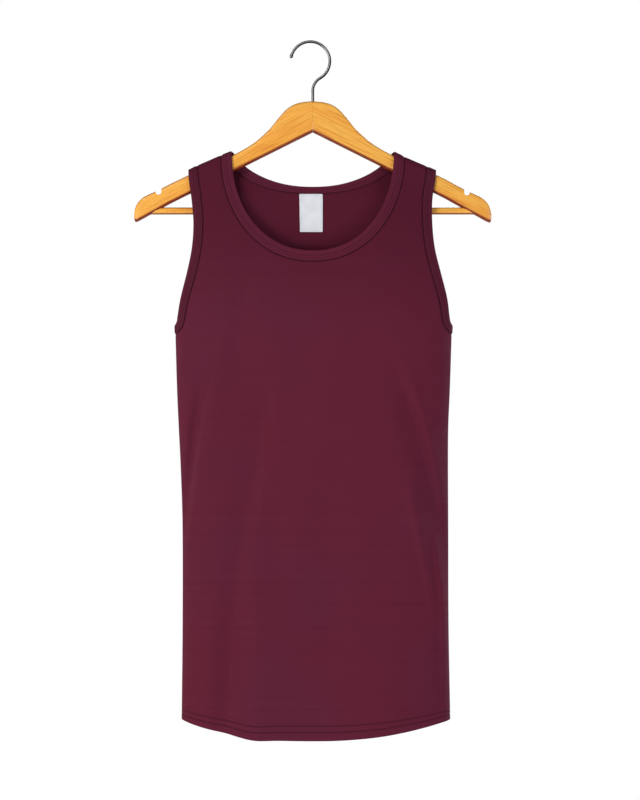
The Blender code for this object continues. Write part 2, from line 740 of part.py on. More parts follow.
bar_mesh = bpy.data.meshes.new("trouser_bar")
bar_work = bmesh.new()
bmesh.ops.create_cone(bar_work, cap_ends=True, segments=BAR_SIDES, radius1=BAR_DIAMETER / 2,
                      radius2=BAR_DIAMETER / 2, depth=2 * BAR_HALF_LENGTH)
bar_work.to_mesh(bar_mesh)
bar_work.free()
bar_mesh.materials.append(VARNISHED_WOOD)
trouser_bar = bpy.data.objects.new("trouser_bar", bar_mesh)
trouser_bar.rotation_euler = (0.0, math.pi / 2, 0.0)
trouser_bar.location = (0.0, 0.0, -BAR_DROP)
bpy.context.scene.collection.objects.link(trouser_bar)


def hook_route():
    """Middle of the wire: straight shank, a bend to the right, then the round."""
    centre = (HOOK_CENTRE_ACROSS, -(HOOK_RADIUS - WIRE_DIAMETER / 2))
    lead = (centre[0] + HOOK_RADIUS * math.cos(HOOK_LEAD_ANGLE),
            centre[1] + HOOK_RADIUS * math.sin(HOOK_LEAD_ANGLE))
    turn = -HOOK_LEAD_ANGLE
    bend_radius = lead[0] / (1.0 - math.cos(turn))
    bend_low = lead[1] - bend_radius * math.sin(turn)
    route = [(0.0, -SHANK_BOTTOM_DROP), (0.0, (bend_low - SHANK_BOTTOM_DROP) / 2)]
    for step in range(HOOK_BEND_STEPS + 1):
        angle = math.pi - turn * step / HOOK_BEND_STEPS
        route.append((bend_radius + bend_radius * math.cos(angle),
                      bend_low + bend_radius * math.sin(angle)))
    for step in range(1, HOOK_ROUND_STEPS + 1):
        share = step / HOOK_ROUND_STEPS
        angle = HOOK_LEAD_ANGLE + (HOOK_END_ANGLE - HOOK_LEAD_ANGLE) * share
        route.append((centre[0] + HOOK_RADIUS * math.cos(angle),
                      centre[1] + HOOK_RADIUS * math.sin(angle)))
    return route


hook_curve = bpy.data.curves.new("hook", "CURVE")
hook_curve.dimensions = "3D"
hook_curve.bevel_depth = WIRE_DIAMETER / 2
hook_curve.bevel_resolution = 2
hook_curve.use_fill_caps = True
hook_points = hook_route()
hook_spline = hook_curve.splines.new("POLY")
hook_spline.points.add(len(hook_points) - 1)
for number, (x, z) in enumerate(hook_points):
    hook_spline.points[number].co = (x, 0.0, z, 1.0)
hook_spline.points[-2].radius = HOOK_TIP_SWELL
hook_spline.points[-1].radius = HOOK_TIP_END
hook_curve.materials.append(BRIGHT_STEEL)
hook = bpy.data.objects.new("hook", hook_curve)
bpy.context.scene.collection.objects.link(hook)
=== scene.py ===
"""A sleeveless performance shirt on a wooden hanger, dressed for the render.

Metres, +Z up, the shirt's front towards -Y. The origin is where the hook rests on its
rail. "drop" is a distance below it. Cloth is worked out on itself: "reach" is the way
from the middle of the front or back, measured along the cloth, and "height" is minus
the drop, measured on along the cloth where a strap turns over the hanger.
"""
import math

import bmesh
import bpy
import numpy as np
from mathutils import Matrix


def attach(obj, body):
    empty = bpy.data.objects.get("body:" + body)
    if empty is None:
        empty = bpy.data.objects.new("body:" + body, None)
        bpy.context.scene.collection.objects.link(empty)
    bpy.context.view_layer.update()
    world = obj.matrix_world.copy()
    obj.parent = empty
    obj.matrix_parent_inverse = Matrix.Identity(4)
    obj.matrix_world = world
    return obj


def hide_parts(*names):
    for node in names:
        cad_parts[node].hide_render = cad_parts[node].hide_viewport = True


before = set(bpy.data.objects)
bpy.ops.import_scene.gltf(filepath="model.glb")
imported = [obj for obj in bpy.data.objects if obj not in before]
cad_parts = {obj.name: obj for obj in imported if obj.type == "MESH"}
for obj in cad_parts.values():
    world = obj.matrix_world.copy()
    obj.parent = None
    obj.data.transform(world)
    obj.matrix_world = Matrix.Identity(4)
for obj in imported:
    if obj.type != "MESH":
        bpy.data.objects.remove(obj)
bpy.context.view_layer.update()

# ------------------------------------------------------------------ studio
# A white, softly lit studio: the camera sees pure white, and the object is lit by a
# paler sky that dims behind it, by seven soft lamps and by the floor's bounce.
CAMERA_AWAY = 3.0               # in front of the hanger's middle plane
CAMERA_ACROSS = 0.0090
CAMERA_HEIGHT = -0.4448
PICTURE_HEIGHT = 0.9972         # how much of the hanger's plane the picture shows
FILM_HEIGHT = 36.0              # millimetres
# Square lamps turned towards the shirt's chest: place, size, power, colour
LAMPS = {
    "key_lamp": ((-1.25, -1.60, -0.60), 0.8, 17.6, (1.0, 0.97, 0.95)),
    "fill_lamp": ((2.0, -1.5, -0.3), 1.2, 19.0, (0.72, 0.82, 1.0)),
    "crown_lamp": ((-1.0, -1.5, 1.0), 0.4, 10.0, (1.0, 0.99, 0.97)),
    "grazing_lamp": ((-2.4, -0.55, -0.55), 0.5, 5.5, (1.0, 0.96, 0.96)),
    "left_rim_lamp": ((-2.0, 0.90, -0.50), 0.7, 7.0, (1.0, 0.94, 0.95)),
    "right_rim_lamp": ((2.0, 0.90, -0.50), 0.7, 17.0, (0.96, 0.92, 1.0)),
    "back_lamp": ((0.6, 2.4, 0.6), 1.4, 27.0, (1.0, 1.0, 1.0)),
}
SKY_FRONT = 0.40                # strength of the sky's light in front and behind
SKY_BACK = 0.24
SKY_TURN = (-0.6, 0.9)          # the directions along Y between which it dims
FLOOR_DROP = 1.52
FLOOR_RADIUS = 1.60
FLOOR_SIDES = 96
FLOOR_GREY = (0.82, 0.82, 0.83, 1.0)
FLOOR_ROUGHNESS = 0.9


def placed(name, data):
    """A thing in the scene, made of a mesh, a curve, a light or a camera."""
    thing = bpy.data.objects.new(name, data)
    bpy.context.scene.collection.objects.link(thing)
    return thing


class Nodes:
    """A tree's nodes, added and joined in short lines."""

    def __init__(self, tree):
        self.tree = tree

    def add(self, kind, settings=None, **inputs):
        """A node with its settings; an input is a number, a colour or another's output."""
        made = self.tree.nodes.new(kind)
        for key, value in (settings or {}).items():
            setattr(made, key, value)
        for key, value in inputs.items():
            self.put(made.inputs[key.replace("_", " ")], value)
        return made

    def put(self, socket, value):
        """Gives a socket a value or a link."""
        if isinstance(value, bpy.types.NodeSocket):
            self.tree.links.new(value, socket)
        elif isinstance(value, tuple) and len(value) == 3 and socket.type == "RGBA":
            socket.default_value = (*value, 1.0)
        else:
            socket.default_value = value


camera_data = bpy.data.cameras.new("camera")
camera_data.sensor_fit = "VERTICAL"
camera_data.sensor_height = FILM_HEIGHT
camera_data.lens = FILM_HEIGHT * CAMERA_AWAY / PICTURE_HEIGHT
camera = placed("camera", camera_data)
camera.location = (CAMERA_ACROSS, -CAMERA_AWAY, CAMERA_HEIGHT)
camera.rotation_euler = (math.pi / 2, 0.0, 0.0)
bpy.context.scene.camera = camera
bpy.context.scene.view_settings.view_transform = "Standard"

chest = camera.location.copy()
chest.y = 0.0
for name, (place, size, power, colour) in LAMPS.items():
    light = bpy.data.lights.new(name, "AREA")
    light.shape = "SQUARE"
    light.size = size
    light.energy = power
    light.color = colour
    lamp = placed(name, light)
    lamp.location = place
    lamp.rotation_euler = (chest - lamp.location).to_track_quat("-Z", "Y").to_euler()

world = bpy.data.worlds.new("studio_sky")
bpy.context.scene.world = world
world.use_nodes = True
sky = Nodes(world.node_tree)
sky.tree.nodes.clear()
from_where = sky.add("ShaderNodeSeparateXYZ",
                     Vector=sky.add("ShaderNodeTexCoord").outputs["Generated"])
dimming = sky.add("ShaderNodeMapRange", Value=from_where.outputs["Y"], To_Min=SKY_FRONT,
                  To_Max=SKY_BACK, From_Min=SKY_TURN[0], From_Max=SKY_TURN[1])
lighting = sky.add("ShaderNodeBackground", Strength=dimming.outputs["Result"])
seen = sky.add("ShaderNodeBackground", Color=(1.0, 1.0, 1.0), Strength=1.0)
both = sky.add("ShaderNodeMixShader",
               Fac=sky.add("ShaderNodeLightPath").outputs["Is Camera Ray"])
sky.put(both.inputs[1], lighting.outputs["Background"])
sky.put(both.inputs[2], seen.outputs["Background"])
sky.add("ShaderNodeOutputWorld", Surface=both.outputs["Shader"])

floor_mesh = bpy.data.meshes.new("floor")
floor_work = bmesh.new()
bmesh.ops.create_circle(floor_work, cap_ends=True, segments=FLOOR_SIDES, radius=FLOOR_RADIUS)
bmesh.ops.translate(floor_work, verts=floor_work.verts, vec=(0.0, 0.0, -FLOOR_DROP))
floor_work.to_mesh(floor_mesh)
floor_work.free()
floor_paint = bpy.data.materials.new("pale_floor")
floor_paint.use_nodes = True
floor_shader = floor_paint.node_tree.nodes["Principled BSDF"]
floor_shader.inputs["Base Color"].default_value = FLOOR_GREY
floor_shader.inputs["Roughness"].default_value = FLOOR_ROUGHNESS
floor_mesh.materials.append(floor_paint)
floor = placed("floor", floor_mesh)

# ------------------------------------------------------------- hanger arms
# Two arms sawn from honey-coloured hardwood, their edges rounded over and the whole
# varnished. They meet under the hook, so the grain forms a chevron there. A round-bottomed
# notch near each tip holds a strap. Painted shade darkens the lower edge most, and
# the upper edge a little.
ARM_THICKNESS = 0.012
ARM_TOP_ROUND = 0.0048
ARM_LOWER_ROUND = 0.0044
ARM_ROUND_STEPS = 7
ARM_STEPS = 9                   # sections in each stretch of the table
ARM_TIP_STEPS = 8
TIP_DROOP = {"left": (0.180, 0.058), "right": (0.165, 0.055)}   # from where, how steep
ARM_EDGE_LIMITS = (0.96, 0.48)  # a round, at most: of the half thickness, of the height
ARM_APEX_DROP = 0.1113          # where the arms' lower edges meet
ARM_LOWER_SLOPE = 0.5
JOINT_GAP = 0.00006             # from the middle plane to each arm
# Upper edge, from the hump to the notch: across, drop
ARM_TOP = (
    (0.0000, 0.0724),
    (0.0130, 0.0737),
    (0.0235, 0.0768),
    (0.0330, 0.0830),
    (0.0430, 0.0940),
    (0.0530, 0.1064),
    (0.0635, 0.1166),
    (0.0740, 0.1252),
    (0.0860, 0.1326),
    (0.1010, 0.1405),
    (0.1280, 0.1526),
    (0.1560, 0.1652),
    (0.1870, 0.1802),
    (0.1990, 0.1853),
)
# The rounded tip: across, top drop, bottom drop, half thickness
ARM_TIP = (
    (0.1990, 0.1853, 0.2108, 0.0060),
    (0.2060, 0.1880, 0.2143, 0.0060),
    (0.2120, 0.1911, 0.2173, 0.0059),
    (0.2168, 0.1954, 0.2196, 0.0056),
    (0.2200, 0.2000, 0.2206, 0.0048),
    (0.2217, 0.2048, 0.2195, 0.0036),
    (0.2225, 0.2092, 0.2168, 0.0020),
)
NOTCH_ACROSS = 0.1919
NOTCH_DROP = 0.1852
NOTCH_RADIUS = 0.0034
NOTCH_MOUTH = 0.0060
NOTCH_CUT_HEIGHT = 0.014
NOTCH_SIDES = 24
CREASE = math.radians(40.0)
WOOD_LIGHT = (1.00, 0.515, 0.084)
# The colour of the painted shade on the wood's edges
WOOD_EDGE_SHADE = (0.225, 0.018, 0.0005)
# Grain: its stretch each way, detail, roughness, distortion
WOOD_GRAIN = {
    "rings": ((5.0, 55.0, 95.0), 4.0, 0.6, 0.35),
    "broad": ((2.0, 20.0, 30.0), 3.0),
    "fibre": ((22.0, 500.0, 620.0), 2.0),
    "pores": ((60.0, 1300.0, 1500.0), 1.0),
}
WOOD_TONE = {"rings": 0.65, "broad": 0.35}      # shares of each in the slow change of tone
# Colours over the light wood: grain, where it starts, where it is full, share at each, colour
WOOD_LAYERS = (
    ("tone", 0.36, 0.64, 0.0, 1.00, (0.97, 0.410, 0.052)),
    ("fibre", 0.47, 0.66, 0.0, 0.66, (0.72, 0.215, 0.016)),
    ("pores", 0.66, 0.80, 0.0, 0.30, (0.45, 0.130, 0.014)),
)
WOOD_ROUGHNESS = ("fibre", 0.3, 0.8, 0.34, 0.46)
WOOD_RELIEF = (("fibre", 0.00006, 0.6), ("rings", 0.00012, 0.5))    # grain, depth, strength
# Noise that breaks the painted shade into patches
SHADE_PATCH_SCALE = 140.0
SHADE_PATCHES = (0.3, 0.7, 0.93, 1.0)
# Painted shade on edges by how far they face down or up: starts at, full after, least, most
ARM_EDGE_SHADE = {"down": (0.12, 0.22, 0.06, 1.0), "up": (0.66, 0.24, 0.0, 0.72)}

SIDE_SIGN = {"left": -1.0, "right": 1.0}


def smooth_line(points, steps):
    """Points of the smooth curve that runs through the given ones."""
    points = np.array(points, dtype=float)
    padded = np.vstack([2 * points[0] - points[1], points, 2 * points[-1] - points[-2]])
    line = []
    for p0, p1, p2, p3 in zip(padded, padded[1:], padded[2:], padded[3:]):
        for t in np.linspace(0.0, 1.0, steps, endpoint=False):
            line.append(0.5 * (2 * p1 + (p2 - p0) * t
                               + (2 * p0 - 5 * p1 + 4 * p2 - p3) * t ** 2
                               + (3 * p1 - p0 - 3 * p2 + p3) * t ** 3))
    line.append(points[-1])
    return np.array(line)


def piece_from(name, points, faces, finish, crease=CREASE):
    """A smooth-shaded piece of the object, closed and facing out."""
    mesh = bpy.data.meshes.new(name)
    mesh.from_pydata([tuple(point) for point in points], [], faces)
    work = bmesh.new()
    work.from_mesh(mesh)
    bmesh.ops.recalc_face_normals(work, faces=work.faces)
    work.to_mesh(mesh)
    work.free()
    mesh.shade_smooth()
    mesh.set_sharp_from_angle(angle=crease)
    mesh.materials.append(finish)
    return placed(name, mesh)


def tube_faces(rings, corners, closed=False):
    """Faces between like rings of points, which come full circle or have two ends."""
    faces = []
    for ring in range(rings if closed else rings - 1):
        here, there = ring * corners, (ring + 1) % rings * corners
        for corner in range(corners):
            beside = (corner + 1) % corners
            faces.append((here + corner, here + beside, there + beside, there + corner))
    if not closed:
        last = range((rings - 1) * corners, rings * corners)
        faces += [tuple(range(corners)), tuple(reversed(last))]
    return faces


def applied(piece):
    """The piece with its modifiers' result as its own plain mesh."""
    depsgraph = bpy.context.evaluated_depsgraph_get()
    made = bpy.data.meshes.new_from_object(piece.evaluated_get(depsgraph),
                                           depsgraph=depsgraph)
    piece.modifiers.clear()
    if piece.type == "MESH":
        piece.data = made
        return piece
    name = piece.name
    bpy.data.objects.remove(piece)
    return placed(name, made)


def paint(piece, name, numbers):
    """Marks a number on each point of a piece, for its finish to read."""
    layer = piece.data.attributes.new(name, "FLOAT", "POINT")
    layer.data.foreach_set("value", np.array(numbers, dtype=np.float32))


class Finish(Nodes):
    """A material's nodes. Its grain is what its colours, roughness and relief follow."""

    def __init__(self, name):
        self.material = bpy.data.materials.new(name)
        self.material.use_nodes = True
        super().__init__(self.material.node_tree)
        self.shader = self.tree.nodes["Principled BSDF"]
        self.place = self.add("ShaderNodeTexCoord").outputs["Object"]
        self.grain = {}

    def math(self, operation, *values):
        """A sum, product or other function of numbers."""
        made = self.add("ShaderNodeMath", {"operation": operation})
        for socket, value in zip(made.inputs, values):
            self.put(socket, value)
        return made.outputs[0]

    def wave(self, turns):
        """A sine wave after this many turns."""
        return self.math("SINE", self.math("MULTIPLY", turns, 2 * math.pi))

    def painted(self, name):
        """A number painted on the piece's points."""
        return self.add("ShaderNodeAttribute", {"attribute_name": name}).outputs["Fac"]

    def blend(self, share, first, second):
        """A colour between two."""
        made = self.add("ShaderNodeMix", {"data_type": "RGBA"})
        for number, value in ((0, share), (6, first), (7, second)):
            self.put(made.inputs[number], value)
        return made.outputs[2]

    def between(self, value, low, high, to_low=0.0, to_high=1.0):
        """A number carried from one range to another, and kept in it."""
        made = self.add("ShaderNodeMapRange", {"interpolation_type": "SMOOTHSTEP"},
                        Value=value, From_Min=low, From_Max=high, To_Min=to_low,
                        To_Max=to_high)
        return made.outputs["Result"]

    def noise(self, place, scale, detail=3.0, roughness=0.55, distortion=0.0):
        """Soft noise at a place."""
        made = self.add("ShaderNodeTexNoise", None, Vector=place, Scale=scale,
                        Detail=detail, Roughness=roughness, Distortion=distortion)
        return made.outputs["Fac"]

    def stretched_grain(self, place, table, turn=(0.0, 0.0, 0.0)):
        """Adds noises to the grain, in a place that is turned and then stretched."""
        for name, (stretch, *rest) in table.items():
            turned = self.add("ShaderNodeMapping", None, Vector=place, Rotation=turn)
            drawn = self.add("ShaderNodeMapping", None, Vector=turned.outputs[0],
                             Scale=stretch)
            self.grain[name] = self.noise(drawn.outputs[0], 1.0, *rest)

    def layered(self, colour, layers):
        """A colour with others laid over it, each where its grain has it."""
        for grain, low, high, share_low, share_high, over in layers:
            share = self.between(self.grain[grain], low, high, share_low, share_high)
            colour = self.blend(share, colour, over)
        return colour

    def done(self, colour, roughness, reliefs=(), **uniform):
        """The material, with this colour, roughness, relief of a real depth and the rest."""
        grain, *ranges = roughness
        values = dict(uniform, Base_Color=colour,
                      Roughness=self.between(self.grain[grain], *ranges))
        for grain, depth, strength in reliefs:
            bump = self.add("ShaderNodeBump", None, Height=self.grain[grain],
                            Distance=depth, Strength=strength)
            if "Normal" in values:
                self.put(bump.inputs["Normal"], values["Normal"])
            values["Normal"] = bump.outputs[0]
        for key, value in values.items():
            self.put(self.shader.inputs[key.replace("_", " ")], value)
        return self.material


def varnished_wood(name, grain_turn):
    """Straight-grained hardwood under satin varnish, its grain along a turned X axis, with
    painted shade on its edges.
    """
    wood = Finish(name)
    wood.stretched_grain(wood.place, WOOD_GRAIN, (0.0, grain_turn, 0.0))
    wood.grain["tone"] = wood.math("ADD", *[wood.math("MULTIPLY", wood.grain[grain], share)
                                            for grain, share in WOOD_TONE.items()])
    # Painted shade, read from the points and broken into patches by noise.
    patchy = wood.between(wood.noise(wood.place, SHADE_PATCH_SCALE), *SHADE_PATCHES)
    edge_shade = wood.math("MULTIPLY", wood.painted("edge_shade"), patchy)
    colour = wood.blend(edge_shade, wood.layered(WOOD_LIGHT, WOOD_LAYERS), WOOD_EDGE_SHADE)
    return wood.done(colour, WOOD_ROUGHNESS, WOOD_RELIEF, Coat_Weight=0.28,
                     Coat_Roughness=0.18, Specular_IOR_Level=0.30)


def edge_shade_share(facing, rule):
    """How dark the painted shade is on an edge that faces down or up this far."""
    start, run, least, most = rule
    return least + (most - least) * min(max((facing - start) / run, 0.0), 1.0)


def arm_stations():
    """Upright sections along an arm: across, top drop, bottom drop, half thickness."""
    found = []
    for across, top in smooth_line(ARM_TOP, ARM_STEPS):
        across = max(float(across), JOINT_GAP)
        bottom = ARM_APEX_DROP + ARM_LOWER_SLOPE * across
        found.append((across, float(top), bottom, ARM_THICKNESS / 2))
    return found + [tuple(row) for row in smooth_line(ARM_TIP, ARM_TIP_STEPS)[1:]]


def arm_section(across, top, bottom, half):
    """One section's points as (across, y, z, painted shade), round at its four corners."""
    height = bottom - top
    most_across, most_upright = ARM_EDGE_LIMITS
    section = []
    for y_sign, z_sign, first in ((1, 1, 0.0), (-1, 1, 90.0), (-1, -1, 180.0), (1, -1, 270.0)):
        size = ARM_TOP_ROUND if z_sign > 0 else ARM_LOWER_ROUND
        rule = ARM_EDGE_SHADE["up" if z_sign > 0 else "down"]
        radius = min(size, half * most_across, height * most_upright)
        centre_y = y_sign * (half - radius)
        centre_z = (-top - radius) if z_sign > 0 else (-bottom + radius)
        for step in range(ARM_ROUND_STEPS + 1):
            angle = math.radians(first + 90.0 * step / ARM_ROUND_STEPS)
            edge_shade = edge_shade_share(z_sign * math.sin(angle), rule)
            section.append((across, centre_y + radius * math.cos(angle),
                            centre_z + radius * math.sin(angle), edge_shade))
    flat_top = (section[ARM_ROUND_STEPS][1] + section[ARM_ROUND_STEPS + 1][1]) / 2
    section.insert(ARM_ROUND_STEPS + 1, (across, flat_top, -top, 0.0))
    return section


def tip_droop(side, across):
    """How far the arm's tip, not quite true, has dropped here."""
    start, slope = TIP_DROOP[side]
    return slope * max(across - start, 0.0)


def notch_cutter(side, finish):
    """A prism with a round bottom, through the arm from front to back."""
    outline = [(NOTCH_RADIUS * math.cos(angle), NOTCH_RADIUS * math.sin(angle))
               for angle in np.linspace(math.pi, 2 * math.pi, NOTCH_SIDES)]
    outline += [(NOTCH_MOUTH / 2, NOTCH_CUT_HEIGHT), (-NOTCH_MOUTH / 2, NOTCH_CUT_HEIGHT)]
    middle = SIDE_SIGN[side] * NOTCH_ACROSS
    drop = NOTCH_DROP + tip_droop(side, NOTCH_ACROSS)
    corners = [(middle + x, depth, z - drop)
               for depth in (-ARM_THICKNESS, ARM_THICKNESS) for x, z in outline]
    return piece_from("notch_cutter", corners, tube_faces(2, len(outline)), finish)


def hanger_arm(side):
    """An arm, lofted through its sections, with the notch cut out of it."""
    sign = SIDE_SIGN[side]
    sections = [arm_section(*station) for station in arm_stations()]
    points = [(sign * x, y, z - tip_droop(side, x))
              for section in sections for x, y, z, _ in section]
    finish = varnished_wood("varnished_wood_" + side, math.atan(ARM_LOWER_SLOPE) * -sign)
    arm = piece_from("hanger_arm_" + side + "_wood", points,
                     tube_faces(len(sections), len(sections[0])), finish)
    # Painted shade on the edges that face down, and a little on those that face up.
    paint(arm, "edge_shade", [edge_shade for section in sections for _, _, _, edge_shade in section])
    cutter = notch_cutter(side, finish)
    notch = arm.modifiers.new("notch", "BOOLEAN")
    notch.operation = "DIFFERENCE"
    notch.solver = "EXACT"
    notch.object = cutter
    arm = applied(arm)
    bpy.data.objects.remove(cutter)
    arm.data.set_sharp_from_angle(angle=CREASE)
    return arm


for side_name in ("left", "right"):
    wood_arm = hanger_arm(side_name)
    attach(wood_arm, "root")
    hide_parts("hanger_arm_" + side_name)

# -------------------------------------------------------------- trouser bar
# A turned dowel of the same wood, let into both arms. Painted shade darkens it above
# and below.
BAR_DIAMETER = 0.0088
BAR_DROP = 0.2092
BAR_HALF_LENGTH = 0.2070
BAR_SIDES = 48
BAR_RINGS = 61
# Painted shade by how far the bar faces down or up: starts at, full after, least, most
BAR_EDGE_SHADE = {"down": (0.55, 0.25, 0.0, 1.0), "up": (0.70, 0.22, 0.0, 0.75)}

bar_points = []
bar_edge_shade = []
for across in np.linspace(-BAR_HALF_LENGTH, BAR_HALF_LENGTH, BAR_RINGS):
    for corner in range(BAR_SIDES):
        angle = 2 * math.pi * corner / BAR_SIDES
        up = math.sin(angle)
        bar_points.append((across, BAR_DIAMETER / 2 * math.cos(angle),
                           BAR_DIAMETER / 2 * up - BAR_DROP))
        bar_edge_shade.append(max(edge_shade_share(-up, BAR_EDGE_SHADE["down"]),
                             edge_shade_share(up, BAR_EDGE_SHADE["up"])))
bar = piece_from("trouser_bar_wood", bar_points, tube_faces(BAR_RINGS, BAR_SIDES),
                 varnished_wood("varnished_wood_bar", 0.0))
# Painted shade above and below the bar.
paint(bar, "edge_shade", bar_edge_shade)
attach(bar, "root")
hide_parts("trouser_bar")

# --------------------------------------------------------------------- hook
# Bright plated steel wire, bent cold: a straight shank in the wood, a bend to the
# right and a round over the rail, with its cut end rounded off.
WIRE_DIAMETER = 0.0036
WIRE_ROUNDNESS = 7
HOOK_RADIUS = 0.0244            # to the middle of the wire
HOOK_CENTRE_ACROSS = -0.0031
HOOK_CENTRE_DROP = 0.0225
HOOK_LEAD_ANGLE = math.radians(-60.0)
HOOK_END_ANGLE = math.radians(166.0)
HOOK_TIP_SWELL = 1.22
HOOK_TIP_LEAST = 0.02           # of the wire's thickness, at the very end
HOOK_BEND_STEPS = 20
HOOK_ROUND_STEPS = 90
HOOK_TIP_STEPS = 8
SHANK_BOTTOM_DROP = 0.0975
STEEL = (0.37, 0.37, 0.37)
# Duller patches, and painted shade on one side: columns as of the wood's
STEEL_LAYERS = (
    ("cloud", 0.35, 0.70, 0.0, 1.0, (0.28, 0.28, 0.28)),
    ("shaded_side", -0.10, 0.12, 0.0, 1.0, (0.018, 0.016, 0.015)),
)
STEEL_DRAWN = {"drawn": ((260.0, 900.0, 160.0), 2.0)}
STEEL_CLOUD_SCALE = 70.0
# The way the side with painted shade faces, in the wire's own frame
STEEL_SHADED_SIDE = (0.62, 0.10, -0.78)
STEEL_ROUGHNESS = ("drawn", 0.3, 0.7, 0.42, 0.50)


def on_round(angle, thickness):
    """The wire's middle on the hook's round, as (across, z, thickness share)."""
    return (HOOK_CENTRE_ACROSS + HOOK_RADIUS * math.cos(angle),
            HOOK_RADIUS * math.sin(angle) - HOOK_CENTRE_DROP, thickness)


def hook_route():
    """The wire's middle as (across, z, thickness share), shank to tip."""
    lead_x, lead_z, _ = on_round(HOOK_LEAD_ANGLE, 1.0)
    turn = -HOOK_LEAD_ANGLE
    bend_radius = lead_x / (1.0 - math.cos(turn))
    bend_low = lead_z - bend_radius * math.sin(turn)
    route = [(0.0, -SHANK_BOTTOM_DROP, 1.0), (0.0, (bend_low - SHANK_BOTTOM_DROP) / 2, 1.0)]
    for step in range(HOOK_BEND_STEPS + 1):
        angle = math.pi - turn * step / HOOK_BEND_STEPS
        route.append((bend_radius + bend_radius * math.cos(angle),
                      bend_low + bend_radius * math.sin(angle), 1.0))
    tip_angle = HOOK_TIP_SWELL * WIRE_DIAMETER / HOOK_RADIUS
    for step in range(1, HOOK_ROUND_STEPS + 1):
        angle = HOOK_LEAD_ANGLE + (HOOK_END_ANGLE - HOOK_LEAD_ANGLE) * step / HOOK_ROUND_STEPS
        share = min(max((angle - HOOK_END_ANGLE + tip_angle) / tip_angle, 0.0), 1.0)
        route.append(on_round(angle, 1.0 + (HOOK_TIP_SWELL - 1.0) * share))
    for step in range(1, HOOK_TIP_STEPS + 1):
        turned = math.pi / 2 * step / HOOK_TIP_STEPS
        route.append(on_round(HOOK_END_ANGLE + 0.5 * tip_angle * math.sin(turned),
                              max(HOOK_TIP_SWELL * math.cos(turned), HOOK_TIP_LEAST)))
    return route


def plated_steel(name):
    """Bright plating on drawn wire, dull in patches, with painted shade on one side."""
    steel = Finish(name)
    steel.stretched_grain(steel.place, STEEL_DRAWN)
    steel.grain["cloud"] = steel.noise(steel.place, STEEL_CLOUD_SCALE)
    facing = steel.add("ShaderNodeVectorMath", {"operation": "DOT_PRODUCT"})
    steel.put(facing.inputs[0], steel.add("ShaderNodeTexCoord").outputs["Normal"])
    steel.put(facing.inputs[1], STEEL_SHADED_SIDE)
    steel.grain["shaded_side"] = facing.outputs["Value"]
    return steel.done(steel.layered(STEEL, STEEL_LAYERS), STEEL_ROUGHNESS, Metallic=1.0)


hook_curve = bpy.data.curves.new("hook_wire", "CURVE")
hook_curve.dimensions = "3D"
hook_curve.bevel_depth = WIRE_DIAMETER / 2
hook_curve.bevel_resolution = WIRE_ROUNDNESS
hook_curve.use_fill_caps = True
hook_points = hook_route()
hook_spline = hook_curve.splines.new("POLY")
hook_spline.points.add(len(hook_points) - 1)
for point, (x, z, thickness) in zip(hook_spline.points, hook_points):
    point.co = (x, 0.0, z, 1.0)
    point.radius = thickness
hook_wire = applied(placed("hook_wire", hook_curve))
hook_wire.data.shade_smooth()
hook_wire.data.materials.clear()
hook_wire.data.materials.append(plated_steel("bright_steel_wire"))
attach(hook_wire, "root")
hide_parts("hook")

# --------------------------------------------------------------- back panel
# One panel cut from thin maroon polyester jersey, its hem turned in and stitched. It
# passes behind the hanger's arms and in front of the trouser bar, then falls straight.
GAP = 0.0003                    # between cloth and what it lies on
CLOTH = 0.0009
HEM_DEPTH = 0.022
HEM_TURN = 0.0009               # the turned layer, inside the hem
# The twin seam's lines above the hem's edge: at the middle, at the sides
HEM_STITCHES = ((0.0108, 0.0068), (0.0186, 0.0128))
BAND = 0.0028                   # a folded band, outside to inside
SHOULDER_SLOPE = 0.396
NECK_HALF_WIDTH = 0.101         # at the shoulder seam, to the band's free edge
SHOULDER_DROP = 0.1380          # crown of the strap at its neck end
SHOULDER_OUTER = {"left": 0.1550, "right": 0.1538}
STRAP_ROUND = ARM_THICKNESS / 2 + 0.0019    # the strap's turn over the arm, to its middle
# How far a strap stands up off the arm: share from its neck edge, left, right
STRAP_PUFF = (
    (0.00, 0.0024, 0.0018),
    (0.25, 0.0026, 0.0007),
    (0.55, 0.0020, 0.0000),
    (0.80, 0.0014, -0.0003),
    (1.00, 0.0000, -0.0009),
)
STRAP_PUFF_RUN = 0.030
SHOULDER_PLY = 0.0007           # the shoulder seam's allowance, under the strap
SHOULDER_PLY_RUN = 0.014
NECK_DROP = {"front": 0.2596, "back": 0.1793}    # free edge, at the middle
# A neck edge is the curve (across / half width) ** wide + (depth share) ** deep = 1.
NECK_ROUNDNESS = {"front": (2.15, 2.15), "back": (2.2, 1.3)}
NECK_BAND_WIDTH = {"shoulder": 0.0136, "front": 0.0131, "back": 0.0088}
ARMHOLE_BAND_WIDTH = {"shoulder": 0.0124, "underarm": 0.0108}
UNDERARM_DROP = 0.352
# Half width of the body at its side seams: drop, left, right
SIDE_SEAM = (
    (0.352, 0.1712, 0.1732),
    (0.427, 0.1691, 0.1708),
    (0.477, 0.1669, 0.1687),
    (0.526, 0.1645, 0.1683),
    (0.601, 0.1621, 0.1686),
    (0.726, 0.1620, 0.1690),
    (0.846, 0.1632, 0.1711),
)
